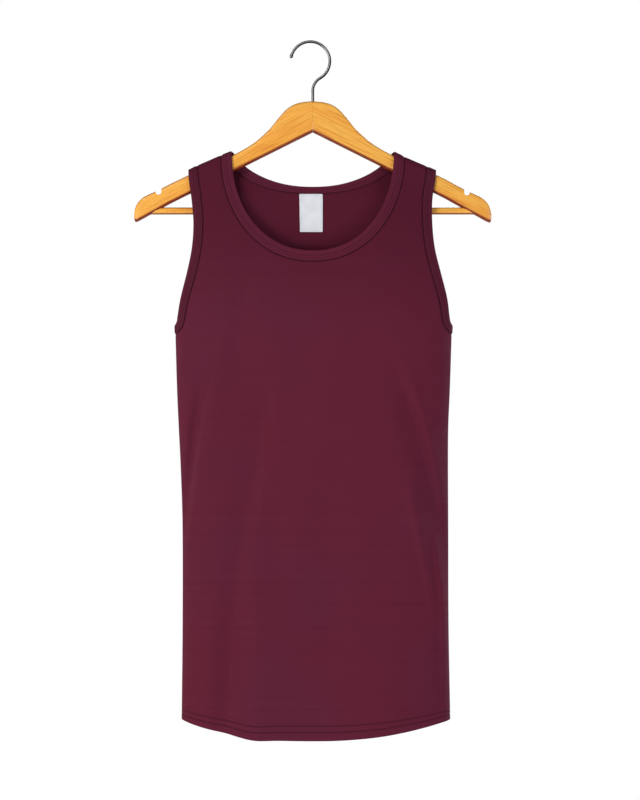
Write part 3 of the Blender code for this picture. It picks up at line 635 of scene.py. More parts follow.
# Free edge of the armhole from the underarm up: drop, and how far inside the
# underarm's half width it lies on the left and on the right
ARMHOLE_EDGE = (
    (0.348, 0.0021, 0.0021),
    (0.340, 0.0035, 0.0036),
    (0.318, 0.0072, 0.0064),
    (0.286, 0.0152, 0.0145),
    (0.256, 0.0212, 0.0218),
    (0.226, 0.0231, 0.0248),
    (0.196, 0.0206, 0.0246),
    (0.172, 0.0172, 0.0208),
)
HEM_DROP = {"front": 0.8660, "back": 0.8615}     # at the middle
HEM_SIDE = (0.166, 0.8422)      # a place near the side seam: across, drop
HEM_LIFT = {"left": 0.0012, "right": -0.0012}   # at the side seam
HEM_LIFT_POWER = 8
HEM_CORNER = 0.0040             # rounding of the hem's side corners
HEM_CURVE = 2.2                 # the power by which the hem rises to it
HEM_DROOP = (0.074, 0.024, 0.0030)  # where the front's left hem sags: across, width, depth
# Half of the body's thickness, front to back: drop, front, back
BODY_DEPTH = (
    (0.160, 0.0200, 0.0165),
    (0.260, 0.0230, 0.0190),
    (0.360, 0.0270, 0.0240),
    (0.550, 0.0290, 0.0265),
    (0.700, 0.0300, 0.0275),
    (0.870, 0.0310, 0.0285),
)
BODY_SQUARENESS = 4.0           # 2 is an ellipse, more is flatter with rounder sides
# Below the shoulder seam: where the strap leaves the arm, and where it has joined the
# body's own curve
STRAP_LEAVES_ARM = {"front": 0.006, "back": 0.030}
STRAP_MEETS_BODY = {"front": 0.100, "back": 0.130}
BAR_FRONT = -0.0064             # depth of the cloth that lies against the bar
ARM_LEFT = 0.0020               # below the arm's lower edge, where the back starts forward
BAR_MET = 0.0030                # above the bar's middle, where the cloth is in front of it
BAR_LEFT = 0.0060               # below the bar's middle, where the cloth leaves it
BACK_RETURN = 0.130             # over which it returns to the body's curve
# Folds: a smooth line through three places (across and drop of the top, the middle and
# the foot), half width to its left and to its right, and height. A trough's is negative.
FOLDS = {
    "front": (
        ((-0.1126, 0.3700), (-0.1347, 0.4765), (-0.1590, 0.6550), 0.0050, 0.0280, 0.0064),
        ((-0.1370, 0.4100), (-0.1480, 0.5050), (-0.1600, 0.6250), 0.0085, 0.0060, -0.0058),
        ((-0.0777, 0.2600), (-0.0900, 0.3456), (-0.0990, 0.4500), 0.0130, 0.0110, -0.0018),
        ((-0.0550, 0.4400), (-0.0925, 0.6573), (-0.1110, 0.9000), 0.0180, 0.0110, -0.0052),
        ((-0.0960, 0.6900), (-0.1030, 0.8000), (-0.1130, 0.9000), 0.0180, 0.0110, -0.0042),
        ((-0.0640, 0.6500), (-0.0700, 0.7800), (-0.0740, 0.9315), 0.0110, 0.0160, 0.0024),
        ((0.1000, 0.4000), (0.1390, 0.5100), (0.1640, 0.6300), 0.0180, 0.0070, -0.0054),
        ((0.1170, 0.4000), (0.1450, 0.5036), (0.1660, 0.6000), 0.0055, 0.0080, 0.0028),
        ((0.1180, 0.5500), (0.1360, 0.6261), (0.1550, 0.7250), 0.0075, 0.0100, 0.0040),
        ((0.1480, 0.6050), (0.1612, 0.6950), (0.1655, 0.8550), 0.0045, 0.0065, 0.0044),
        ((0.0280, 0.5000), (0.0200, 0.6500), (0.0260, 0.8300), 0.0220, 0.0220, -0.0020),
    ),
    "back": (
        ((0.1100, 0.3500), (0.1260, 0.4700), (0.1550, 0.6200), 0.0240, 0.0090, 0.0055),
        ((0.0780, 0.4700), (0.0920, 0.6400), (0.1080, 0.8500), 0.0120, 0.0160, -0.0048),
        ((-0.0900, 0.4000), (-0.1220, 0.5300), (-0.1500, 0.6600), 0.0090, 0.0130, -0.0045),
        ((-0.0840, 0.5000), (-0.1080, 0.6100), (-0.1500, 0.7200), 0.0090, 0.0160, 0.0045),
        ((-0.1100, 0.6800), (-0.1300, 0.7600), (-0.1500, 0.8400), 0.0080, 0.0120, 0.0026),
        ((-0.0300, 0.5200), (-0.0200, 0.6800), (-0.0260, 0.8300), 0.0220, 0.0220, -0.0025),
    ),
}
FOLD_POINTS = 24                # on each of a fold's two stretches
FOLD_END = 0.06                 # where on a sine's hump a fold starts
FOLD_FADE = 0.009               # folds die out over this distance to the side seam
# Slow unevenness of hanging jersey: waves across and down, start, height
WANDER = (
    (0.118, 0.610, 0.4, 0.00055),
    (0.071, 0.430, 2.1, 0.00035),
    (0.049, 0.300, 3.7, 0.00022),
    (0.210, 0.180, 5.2, 0.00040),
)
WANDER_DRIFT = 1.7              # how much the start shifts the waves down
WANDER_TOP = (0.12, 0.15)       # from how far above the underarm, over what, they grow
SEAM_DIP = 0.00075              # how deep the cloth is drawn in at a seam
SEAM_DIP_RUN = 0.0012
STITCH_DIP = 0.00040
STITCH_DIP_RUN = 0.0009
INNER_DIP = 0.5                 # how much of that the wall's inner side is pushed in
EDGE_LEAST = 0.12               # how much of its thickness a cut edge keeps
HEM_TURN_RUN = 0.0015           # over which the turned hem rounds into its edge
PANEL_CREASE = math.radians(75.0)
SEAM_RUN = 0.035                # over which a band's insets turn to follow the shoulder seam
TUCK = 0.0012                   # how far a panel reaches under its band
SLOPE_STEP = 0.0004             # for the cloth's slope
# How finely the cloth is divided
BODY_ROWS = 165
ROW_CROWDING = 1.3              # body rows lie closer together towards the chest
EDGE_ROWS = {"front": 66, "back": 88}
BACK_NECK_ROWS = 34
TURN_ROWS = 12
CLOTH_COLUMNS = 78
COLUMN_CROWDING = 1.35          # columns stand closer towards the side
EDGE_COLUMNS = (0.0, 0.00025, 0.0007, 0.0013, 0.0021, 0.0032, 0.0048, 0.0070)
HEM_ROW_STEPS = (0.0, 0.0002, 0.0006, 0.0012)
HEM_ROW_GAP = 0.00075
# Rows crowd at these drops: where, over what distance, and how much closer
CROWDING = {
    "front": ((0.352, 0.030, 1.2),),
    "back": ((0.352, 0.030, 1.2), (0.203, 0.022, 1.6)),
}
# Columns crowd at a row's middle end this far above the hem, and from there over this
SEAM_COLUMNS = (0.05, 0.5)
FAR = 1.0                       # further than any seam
# Colours of the yarn: in the light, in the folds, and where it is cooler
JERSEY = ((0.1240, 0.0127, 0.0320), (0.0840, 0.0068, 0.0212), (0.1120, 0.0155, 0.0400))
KNIT_WALE = 0.00105             # from one row of V stitches to the next
KNIT_COURSE = 0.00082
KNIT_SLANT = 1.3
KNIT_YARN = (0.3, 0.7)          # how far its light and shade swing, and about what
# Its grain, stretched over the cloth's own plane: columns as of the wood's
KNIT_GRAIN = {
    "wander": ((0.35, 16.0, 1.0), 2.0, 0.5),
    "streaks": ((0.4, 75.0, 1.0), 2.0),
    "fading": ((3.0, 42.0, 1.0),),
    "fuzz": ((900.0, 900.0, 1.0), 2.0, 0.6),
}
KNIT_CLOUD = (5.0, 3.0, 0.5)    # scale, detail, roughness
KNIT_ROUGHNESS = ("streaks", 0.3, 0.7, 0.72, 0.80)
KNIT_RELIEF = (("streaks", 0.00012, 0.25), ("stitch", 0.00022, 0.5))
SEAM_SHADE_SHARE = 0.80            # how dark the painted shade in a seam's groove is
# Bars across the cloth: spacing, how far they wander, strength. They fade along the
# cloth and show most below the chest.
COURSE_BARS = ((0.01430, 1.0, 0.18), (0.00765, 1.6, 0.08))
BARS_FADE = (0.36, 0.62, 0.15, 1.0)
BARS_BELOW = (-0.42, -0.66, 0.12, 1.0)

FACE_SIGN = {"front": -1.0, "back": 1.0}
SIDE_COLUMN = {"left": 1, "right": 2}
FACE_COLUMN = {"front": 1, "back": 2}
TABLE_STEPS = 16                # between two rows of a table
OUTLINE_POINTS = 400            # on a level's outline
NECK_POINTS = 240               # on the neck's free edge
MIDDLE_POINTS = 200             # on the back's middle line, above the chest
ARMHOLE_STEPS = 24              # between two places of the armhole's table
SEAM_STEPS = 4                  # between two stations of a seam
LEVELS = np.linspace(0.10, 0.90, 401)       # drops at which the form is worked out
SHARES = np.linspace(0.0, 1.0, 221)         # and shares of the reach


def eased(share):
    """0 to 1 with a soft start and end."""
    share = np.clip(share, 0.0, 1.0)
    return share * share * (3.0 - 2.0 * share)


def read_table(table, column, at):
    """A column of a table at any values of its first column, on a smooth curve."""
    line = smooth_line([(row[0], row[column]) for row in table], TABLE_STEPS)
    return np.interp(at, line[:, 0], line[:, 1])


def lengths_along(line):
    """Distance from a line's start to each of its points."""
    steps = np.linalg.norm(np.diff(line, axis=0), axis=1)
    return np.concatenate([[0.0], np.cumsum(steps)])


def body_form(side, face):
    """Across and thickness at each level and share of the reach, and the whole reach."""
    width = read_table(SIDE_SEAM, SIDE_COLUMN[side], np.maximum(LEVELS, UNDERARM_DROP))
    depth = read_table(BODY_DEPTH, FACE_COLUMN[face], LEVELS)
    angle = math.pi / 2 * np.linspace(0.0, 1.0, OUTLINE_POINTS) ** 2
    across_rows, thick_rows, whole = [], [], []
    for half, thick in zip(width, depth):
        outline = np.column_stack([half * np.sin(angle) ** (2.0 / BODY_SQUARENESS),
                                   thick * np.cos(angle)])
        reach = lengths_along(outline)
        across_rows.append(np.interp(SHARES * reach[-1], reach, outline[:, 0]))
        thick_rows.append(np.interp(SHARES * reach[-1], reach, outline[:, 1]))
        whole.append(reach[-1])
    return np.array(across_rows), np.array(thick_rows), np.array(whole)


FORMS = {(side, face): body_form(side, face) for side in SIDE_SIGN for face in FACE_SIGN}


def sampled(grid, drop, share):
    """A grid over levels and shares, read between its lines."""
    row = np.clip((drop - LEVELS[0]) / (LEVELS[1] - LEVELS[0]), 0.0, len(LEVELS) - 1.001)
    column = np.clip(share * (len(SHARES) - 1), 0.0, len(SHARES) - 1.001)
    r, c = row.astype(int), column.astype(int)
    down, beside = row - r, column - c
    upper = grid[r, c] * (1 - beside) + grid[r, c + 1] * beside
    lower = grid[r + 1, c] * (1 - beside) + grid[r + 1, c + 1] * beside
    return upper * (1 - down) + lower * down


def seam_reach(side, face, drop):
    """Reach of the side seam."""
    return np.interp(drop, LEVELS, FORMS[side, face][2])


def reach_at(side, face, drop, across):
    """Reach of the point of a level that lies this far across."""
    share = np.array([np.interp(x, sampled(FORMS[side, face][0], np.full(len(SHARES), d),
                                           SHARES), SHARES)
                      for d, x in zip(np.atleast_1d(drop), np.atleast_1d(across))])
    return share * seam_reach(side, face, np.atleast_1d(drop))


def crown_drop(across):
    """Drop of the strap's crown over the hanger's arm."""
    return SHOULDER_DROP + SHOULDER_SLOPE * (across - NECK_HALF_WIDTH)


def seam_height(across):
    """Height of the shoulder seam with the strap laid out flat."""
    return STRAP_ROUND * (math.pi / 2 - 1.0) - crown_drop(across)


FOLD_LINES = {
    face: [(smooth_line(fold[:3], FOLD_POINTS), *fold[3:]) for fold in folds]
    for face, folds in FOLDS.items()
}


def fold_height(face, across, drop):
    """How far the folds push the cloth out or let it in."""
    place = np.column_stack([across.ravel(), drop.ravel()])
    total = np.zeros(len(place))
    for line, left_width, right_width, height in FOLD_LINES[face]:
        away = ((line[:, None, :] - place[None, :, :]) ** 2).sum(axis=2)
        nearest = away.argmin(axis=0)
        tangent = np.gradient(line, axis=0)[nearest]
        spacing = np.linalg.norm(tangent, axis=1)
        offset = ((place - line[nearest]) * tangent).sum(axis=1) / spacing ** 2
        offset = np.clip(offset, -0.5, 0.5)
        spot = line[nearest] + tangent * offset[:, None]
        share = np.clip((nearest + offset) / (len(line) - 1), 0.0, 1.0)
        strength = np.sin(math.pi * (FOLD_END + (1.0 - 2 * FOLD_END) * share))
        aside = place - spot
        on_left = tangent[:, 0] * aside[:, 1] < tangent[:, 1] * aside[:, 0]
        width = np.where(on_left, right_width, left_width)
        gone = (aside ** 2).sum(axis=1) / width ** 2
        total += height * strength * np.exp(-gone)
    for wide, tall, start, height in WANDER:
        wave = np.cos(2 * math.pi * place[:, 0] / wide + start + FACE_SIGN[face])
        drift = np.cos(2 * math.pi * place[:, 1] / tall + WANDER_DRIFT * start)
        grown = eased((place[:, 1] - UNDERARM_DROP + WANDER_TOP[0]) / WANDER_TOP[1])
        total += height * wave * drift * grown
    return total.reshape(across.shape)


def past_bar(across, y, drop):
    """The back's depth, drawn to the front of the trouser bar."""
    start = ARM_APEX_DROP + ARM_LOWER_SLOPE * across + ARM_LEFT
    crossed = eased((drop - start) / (BAR_DROP - BAR_MET - start))
    returned = eased((drop - BAR_DROP - BAR_LEFT) / BACK_RETURN)
    return y + (BAR_FRONT - y) * crossed * (1.0 - returned)


def cloth_middle(side, face, reach, height):
    """Points in the middle of the cloth's wall."""
    across_grid, thick_grid, _ = FORMS[side, face]
    whole = seam_reach(side, face, -height)
    share = reach / whole
    across = sampled(across_grid, -height, share)
    y = sampled(thick_grid, -height, share)
    below_seam = np.maximum(seam_height(across) - height, 0.0)
    turn = np.minimum(below_seam / STRAP_ROUND, math.pi / 2)
    on_strap = -crown_drop(across) - STRAP_ROUND * (1.0 - np.cos(turn))
    z = np.where(turn < math.pi / 2, on_strap, height)
    strap = np.clip((across - NECK_HALF_WIDTH) / (SHOULDER_OUTER[side] - NECK_HALF_WIDTH),
                    0.0, 1.0)
    z = z + (read_table(STRAP_PUFF, SIDE_COLUMN[side], strap)
             * (1.0 - eased(below_seam / STRAP_PUFF_RUN)))
    on_arm = STRAP_ROUND * np.sin(turn)
    leaves, meets = STRAP_LEAVES_ARM[face], STRAP_MEETS_BODY[face]
    y = on_arm + (y - on_arm) * eased((below_seam - leaves) / (meets - leaves))
    if face == "back":
        y = past_bar(across, y, -height)
    y = y + (fold_height(face, SIDE_SIGN[side] * across, -height)
             * eased((whole - reach) / FOLD_FADE))
    return np.stack([SIDE_SIGN[side] * across, FACE_SIGN[face] * y, z], axis=-1)


def cloth_frame(side, face, reach, height):
    """Points in the middle of the cloth, and the directions out of it."""
    here = cloth_middle(side, face, reach, height)
    along = (cloth_middle(side, face, reach + SLOPE_STEP, height)
             - cloth_middle(side, face, np.maximum(reach - SLOPE_STEP, 0.0), height))
    up = (cloth_middle(side, face, reach, height + SLOPE_STEP)
          - cloth_middle(side, face, reach, height - SLOPE_STEP))
    out = np.cross(along, up) * -SIDE_SIGN[side] * FACE_SIGN[face]
    return here, out / np.linalg.norm(out, axis=-1, keepdims=True)


def crowded(face, lengths, drops, end, count):
    """Spots up to an end, closer together where the rows crowd."""
    density = np.ones(len(lengths))
    for drop, run, closer in CROWDING[face]:
        density += closer * np.exp(-((drops - drop) / run) ** 2)
    steps = np.diff(lengths) * (density[1:] + density[:-1]) / 2
    measure = np.concatenate([[0.0], np.cumsum(steps)])
    return np.interp(np.linspace(0.0, np.interp(end, lengths, measure), count),
                     measure, lengths)


def places_on(line, marks, at):
    """Places on a line, read between its points by the points' marks."""
    return np.column_stack([np.interp(at, marks, column) for column in line.T])


def edge_stations(face, path, count):
    """Stations on an edge that ends at the shoulder: those below the strap's turn over
    the arm, then the turn's."""
    below = seam_height(path[:, 0]) - path[:, 1]
    lengths = lengths_along(path)
    turn_start = STRAP_ROUND * math.pi / 2
    end = np.interp(-turn_start, -below, lengths)
    spots = crowded(face, lengths, -path[:, 1], end, count)
    turn = np.interp(-turn_start * (1 - np.arange(1, TURN_ROWS + 1) / TURN_ROWS),
                     -below, lengths)
    return places_on(path, lengths, np.concatenate([spots, turn]))


def inset_ways(edge, into_cloth):
    """Unit directions, on the cloth, from an edge's stations into the cloth. Near the
    shoulder seam they turn to run along it, so front and back meet there."""
    along_seam = np.array([1.0, -SHOULDER_SLOPE]) * into_cloth
    along_seam /= np.linalg.norm(along_seam)
    run = np.gradient(edge, axis=0)
    square = np.column_stack([run[:, 1], -run[:, 0]]) * into_cloth
    square /= np.linalg.norm(square, axis=1, keepdims=True)
    square[0] = (0.0, -1.0)
    near = 1.0 - eased((seam_height(edge[:, 0]) - edge[:, 1]) / SEAM_RUN)[:, None]
    ways = square * (1.0 - near) + along_seam * near
    return ways / np.linalg.norm(ways, axis=1, keepdims=True)


def neck_edge(side, face, count):
    """Free edge of the neck, from the middle up to the shoulder seam."""
    wide, deep = NECK_ROUNDNESS[face]
    top = -seam_height(NECK_HALF_WIDTH)
    angle = np.linspace(math.pi / 2, 0.0, NECK_POINTS)
    drop = top + (NECK_DROP[face] - top) * np.sin(angle) ** (2.0 / deep)
    across = NECK_HALF_WIDTH * np.maximum(np.cos(angle), 0.0) ** (2.0 / wide)
    path = np.column_stack([reach_at(side, face, drop, across), -drop])
    edge = edge_stations(face, path, count)
    edge[0] = (0.0, -NECK_DROP[face])
    return edge, inset_ways(edge, 1.0)


def armhole_edge(side, face, count):
    """Free edge of the armhole, from the side seam up to the shoulder seam."""
    underarm = float(read_table(SIDE_SEAM, SIDE_COLUMN[side], UNDERARM_DROP))
    places = [(float(seam_reach(side, face, UNDERARM_DROP)), -UNDERARM_DROP)]
    for row in ARMHOLE_EDGE:
        across = underarm - row[SIDE_COLUMN[side]]
        places.append((float(reach_at(side, face, row[0], across)[0]), -row[0]))
    shoulder = SHOULDER_OUTER[side]
    top = seam_height(shoulder)
    places.append((float(reach_at(side, face, -top, shoulder)[0]), top))
    mirrored = (2 * places[0][0] - places[1][0], places[1][1])
    line = smooth_line([mirrored] + places, ARMHOLE_STEPS)[ARMHOLE_STEPS:]
    edge = edge_stations(face, line, count)
    return edge, inset_ways(edge, -1.0)


def band_widths(widths, low_key, count):
    """A band's width at each of its stations."""
    share = eased(np.arange(count) / (count - 1))
    return widths[low_key] + (widths["shoulder"] - widths[low_key]) * share


def hem_height(side, face, across):
    """The hem's bottom edge."""
    rise = HEM_DROP[face] - HEM_SIDE[1]
    share = across / HEM_SIDE[0]
    height = rise * share ** HEM_CURVE - HEM_DROP[face] + HEM_LIFT[side] * share ** HEM_LIFT_POWER
    if side == "left" and face == "front":
        place, width, depth = HEM_DROOP
        height = height - depth * np.exp(-((across - place) / width) ** 2)
    return height


def hem_seam_height(number, across):
    """How far one of the hem's twin lines lies above its edge."""
    middle, at_side = HEM_STITCHES[number]
    return middle + (at_side - middle) * np.minimum(across / HEM_SIDE[0], 1.0) ** 2


def panel_rows(side, face):
    """Each row's middle end, side end, bow towards the hem's curve and height in the hem."""
    neck_count = EDGE_ROWS["front"] if face == "front" else BACK_NECK_ROWS
    neck, neck_in = neck_edge(side, face, neck_count)
    neck_width = band_widths(NECK_BAND_WIDTH, face, len(neck))[:, None]
    neck_seam = neck + neck_in * (neck_width - TUCK)
    arm, arm_in = armhole_edge(side, face, EDGE_ROWS[face])
    arm_width = band_widths(ARMHOLE_BAND_WIDTH, "underarm", len(arm))[:, None]
    arm_seam = arm + arm_in * (arm_width - TUCK)
    chest = -(NECK_DROP["front"] + NECK_BAND_WIDTH["front"] - TUCK)
    underarm = arm_seam[0, 1]
    hem_middle = hem_height(side, face, 0.0)
    half = float(read_table(SIDE_SEAM, SIDE_COLUMN[side], HEM_SIDE[1]))
    hem_side = hem_height(side, face, half)

    ups = list(HEM_ROW_STEPS)
    while ups[-1] < HEM_DEPTH + 2 * HEM_ROW_GAP:
        ups.append(ups[-1] + HEM_ROW_GAP)
    rows = [((0.0, hem_middle + up), (None, hem_side + up), 1.0, up) for up in ups]
    first = ups[-1]
    for step in range(1, BODY_ROWS):
        share = 1.0 - (1.0 - step / BODY_ROWS) ** ROW_CROWDING
        middle = hem_middle + first + (chest - hem_middle - first) * share
        outer = hem_side + first + (underarm - hem_side - first) * share
        rows.append(((0.0, middle), (None, outer), (1.0 - share) ** 2, 1.0))
    rows = [(inner, (float(seam_reach(side, face, -outer[1])), outer[1]), bow, up)
            for inner, outer, bow, up in rows]

    middle_ends = [tuple(place) for place in neck_seam]
    if face == "back":
        up = np.linspace(0.0, neck_seam[0, 1] - chest, MIDDLE_POINTS)
        count = len(arm_seam) - len(neck_seam)
        spots = crowded(face, up, -(chest + up), up[-1], count + 1)[:-1]
        middle_ends = [(0.0, chest + spot) for spot in spots] + middle_ends
    for number, (inner, outer) in enumerate(zip(middle_ends, arm_seam)):
        end = tuple(outer)
        if number == 0:
            end = (float(seam_reach(side, face, -underarm)), underarm)
        rows.append((inner, end, 0.0, 1.0))
    return rows, neck_seam, arm_seam


def column_places(length, at_seam):
    """Distances of a row's points from its middle end, closer together at its ends."""
    edge = np.array(EDGE_COLUMNS)
    share = 1.0 - (1.0 - np.linspace(0.0, 1.0, CLOTH_COLUMNS + 2)) ** COLUMN_CROWDING
    inside = edge[-1] + (length - 2 * edge[-1]) * share[1:-1]
    both_ends = np.concatenate([edge, inside, length - edge[::-1]])
    even = np.linspace(0.0, length - edge[-1], CLOTH_COLUMNS + len(edge) + 1)
    one_end = np.concatenate([even, length - edge[::-1][1:]])
    return both_ends * at_seam + one_end * (1.0 - at_seam)


def distance_to(line, reach, height):
    """Distance on the cloth from places to the nearest point of a line."""
    fine = places_on(line, np.arange(len(line)),
                     np.linspace(0, len(line) - 1, SEAM_STEPS * len(line)))
    nearest = np.full(reach.size, FAR)
    for spot in fine:
        away = np.hypot(spot[0] - reach.ravel(), spot[1] - height.ravel())
        nearest = np.minimum(nearest, away)
    return nearest.reshape(reach.shape)


def panel_grid(side, face, rows):
    """Reach and height of the points of half a panel, how far across and how far up from
    the hem's edge they are."""
    hem_middle, hem_side = rows[0][0][1], rows[0][1][1]
    grid = []
    for inner, outer, bow, up in rows:
        length = math.hypot(outer[0] - inner[0], outer[1] - inner[1])
        at_seam = 1.0
        if inner[0] == 0:
            at_seam = float(eased((inner[1] - hem_middle - SEAM_COLUMNS[0]) / SEAM_COLUMNS[1]))
        share = column_places(length, at_seam) / length
        corner = HEM_CORNER * (1.0 - math.sqrt(1.0 - (1.0 - min(up / HEM_CORNER, 1.0)) ** 2))
        reach = inner[0] + (outer[0] - inner[0] - corner) * share
        height = inner[1] + (outer[1] - inner[1]) * share
        level = np.full(len(share), min(inner[1], hem_side))
        across = np.abs(cloth_middle(side, face, reach, level)[:, 0])
        if bow:
            straight = hem_middle + (hem_side - hem_middle) * share
            height = height + bow * (hem_height(side, face, across) - straight)
        grid.append((reach, height, across, np.full(len(share), up)))
    return [np.array(column) for column in zip(*grid)]


def drawn_in(away, depth, run):
    """How far the cloth is drawn in this far away from a seam or a line of stitches."""
    return depth * np.exp(-(away / run) ** 2)


def panel_half(side, face):
    """Half a panel in rows: its points outside and inside, reach, height and the painted
    shade in its seams' and stitches' grooves."""
    rows, neck_seam, arm_seam = panel_rows(side, face)
    reach, height, across, to_hem = panel_grid(side, face, rows)
    middle, out = cloth_frame(side, face, reach, height)
    to_side = np.where(-height > UNDERARM_DROP, seam_reach(side, face, -height) - reach, FAR)
    to_neck = distance_to(neck_seam, reach, height)
    to_arm = distance_to(arm_seam, reach, height)
    to_shoulder = seam_height(reach) - height
    to_edge = np.minimum.reduce([to_side, to_neck, to_arm, np.abs(to_shoulder), to_hem])
    roundness = 1.0 - np.clip(to_edge / (CLOTH / 2), 0.0, 1.0)
    half = CLOTH / 2 * np.maximum(np.sqrt(1.0 - roundness ** 2), EDGE_LEAST)
    dip = sum(drawn_in(away, SEAM_DIP, SEAM_DIP_RUN) for away in (
        to_side, np.maximum(to_neck - TUCK, 0.0), np.maximum(to_arm - TUCK, 0.0), to_shoulder))
    for number in range(len(HEM_STITCHES)):
        dip += drawn_in(to_hem - hem_seam_height(number, across), STITCH_DIP, STITCH_DIP_RUN)
    turned = HEM_TURN * (1.0 - eased((to_hem - HEM_DEPTH) / HEM_ROW_GAP))
    turned *= eased(to_hem / HEM_TURN_RUN)
    ply = SHOULDER_PLY * (1.0 - eased(to_shoulder / SHOULDER_PLY_RUN))
    outside = middle + out * (half - dip + ply)[..., None]
    inside = middle - out * (half + dip * INNER_DIP + turned)[..., None]
    return outside, inside, reach, height, np.clip(dip / SEAM_DIP, 0.0, 1.0)


def wall_faces(quads, count):
    """Faces of a wall: those outside, the same inside and a strip along each free edge."""
    uses = {}
    for quad in quads:
        for a, b in zip(quad, quad[1:] + quad[:1]):
            uses.setdefault((min(a, b), max(a, b)), []).append((a, b))
    inner = [tuple(i + count for i in reversed(quad)) for quad in quads]
    edges = [use[0] for use in uses.values() if len(use) == 1]
    return quads + inner + [(b, a, a + count, b + count) for a, b in edges]


def corner_points(piece):
    """The number of the point at each corner of a piece's faces."""
    numbers = np.zeros(len(piece.data.loops), dtype=np.int32)
    piece.data.loops.foreach_get("vertex_index", numbers)
    return numbers


def uv_map(piece, places):
    """Gives each corner of a piece's faces its place on the cloth, in metres."""
    layer = piece.data.uv_layers.new(name="cloth")
    layer.data.foreach_set("uv", np.array(places, dtype=np.float32).ravel())


def panel(name, face, finish):
    """A front or back panel: a thin wall on the shirt's form, hem turned in, drawn in a
    little at its seams and stitches. Its UV map is in metres of cloth."""
    outer, inner, places, seam_shade, quads = [], [], [], [], []
    index = {}
    for side in ("right", "left"):
        outside, inside, reach, height, groove_shade = panel_half(side, face)
        for r, c in np.ndindex(reach.shape):
            on_middle = c == 0 and reach[r, 0] < 1e-9
            key = ("middle", r) if on_middle else (side, r, c)
            if key not in index:
                index[key] = len(places)
                outer.append(outside[r, c])
                inner.append(inside[r, c])
                places.append((SIDE_SIGN[side] * reach[r, c], height[r, c]))
                seam_shade.append(groove_shade[r, c])
            index[side, r, c] = index[key]
        for r, c in np.ndindex(reach.shape[0] - 1, reach.shape[1] - 1):
            quads.append((index[side, r, c], index[side, r, c + 1],
                          index[side, r + 1, c + 1], index[side, r + 1, c]))
    piece = piece_from(name, outer + inner, wall_faces(quads, len(outer)), finish,
                       PANEL_CREASE)
    uv_map(piece, np.array(places + places)[corner_points(piece)])
    # Painted shade in the grooves of the seams and stitches.
    paint(piece, "seam_shade", seam_shade + seam_shade)
    return piece


def tinted(colour, share):
    """A colour made darker, or lighter, to a share of itself."""
    return tuple(share * part for part in colour)


def knit(name, colours, bars, hanger_shade):
    """Plain jersey: rows of V stitches and faint bars across where the yarn changes. Painted
    shade makes it deeper in tone round the hanger, where no light comes through it from behind."""
    light, deep, cool = colours
    cloth = Finish(name)
    place = cloth.add("ShaderNodeUVMap").outputs["UV"]
    u, v, _ = cloth.add("ShaderNodeSeparateXYZ", None, Vector=place).outputs
    solid = cloth.add("ShaderNodeSeparateXYZ", None, Vector=cloth.place).outputs
    cloth.stretched_grain(place, KNIT_GRAIN)
    cloth.grain["cloud"] = cloth.noise(cloth.place, *KNIT_CLOUD)
    cloth.grain["height"] = solid["Z"]
    wale = cloth.math("FRACT", cloth.math("DIVIDE", u, KNIT_WALE))
    from_spine = cloth.math("ABSOLUTE", cloth.math("SUBTRACT", wale, 0.5))
    slanted = cloth.math("ADD", cloth.math("DIVIDE", v, KNIT_COURSE),
                         cloth.math("MULTIPLY", from_spine, KNIT_SLANT))
    yarn = cloth.math("MULTIPLY_ADD", cloth.wave(slanted), *KNIT_YARN)
    gap = cloth.math("POWER", cloth.math("MULTIPLY", from_spine, 2.0), 2.0)
    cloth.grain["stitch"] = cloth.math("MULTIPLY", cloth.math("SUBTRACT", 1.0, gap), yarn)

    colour = cloth.layered(light, (("cloud", 0.35, 0.68, 0.0, 0.6, cool),
                                   ("streaks", 0.38, 0.64, 0.0, 0.03 * bars, deep)))
    fading = cloth.math("MULTIPLY", cloth.between(cloth.grain["fading"], *BARS_FADE),
                        cloth.between(solid["Z"], *BARS_BELOW))
    for spacing, drift, strength in COURSE_BARS:
        turns = cloth.math("ADD", cloth.math("DIVIDE", v, spacing),
                           cloth.math("MULTIPLY", cloth.grain["wander"], drift))
        wave = cloth.wave(turns)
        for low, high, share, over in ((0.80, 1.0, 1.0, tinted(light, 1.22)),
                                       (-0.70, -1.0, 0.8, deep)):
            line = cloth.math("MULTIPLY", cloth.between(wave, low, high), fading)
            line = cloth.math("MULTIPLY", line, share * strength * bars)
            colour = cloth.blend(line, colour, over)
    # Painted shade towards the top, round the hanger.
    colour = cloth.layered(colour, (("height", -0.38, -0.20, 0.0, hanger_shade, deep),
                                    ("stitch", 0.0, 0.6, 0.30, 0.0, tinted(deep, 0.62)),
                                    ("fuzz", 0.5, 0.8, 0.0, 0.10, tinted(light, 1.5))))
    # Painted shade in the grooves of seams and twin lines.
    seam_shade = cloth.math("MULTIPLY", cloth.painted("seam_shade"), SEAM_SHADE_SHARE)
    colour = cloth.blend(seam_shade, colour, tinted(deep, 0.30))
    return cloth.done(colour, KNIT_ROUGHNESS, KNIT_RELIEF, Sheen_Weight=0.045,
                      Sheen_Roughness=0.40, Sheen_Tint=(0.85, 0.38, 0.60),
                      Specular_IOR_Level=0.10)


jersey = knit("maroon_jersey", JERSEY, 1.0, 0.80)
back = panel("back_panel_cloth", "back", jersey)
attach(back, "root")
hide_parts("back_panel")

# -------------------------------------------------------------- front panel
# The front is cut like the back, with a deep scooped neck. It hangs clear of the
# hanger, over the back, and shows the largest folds.
front = panel("front_panel_cloth", "front", jersey)
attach(front, "root")
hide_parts("front_panel")

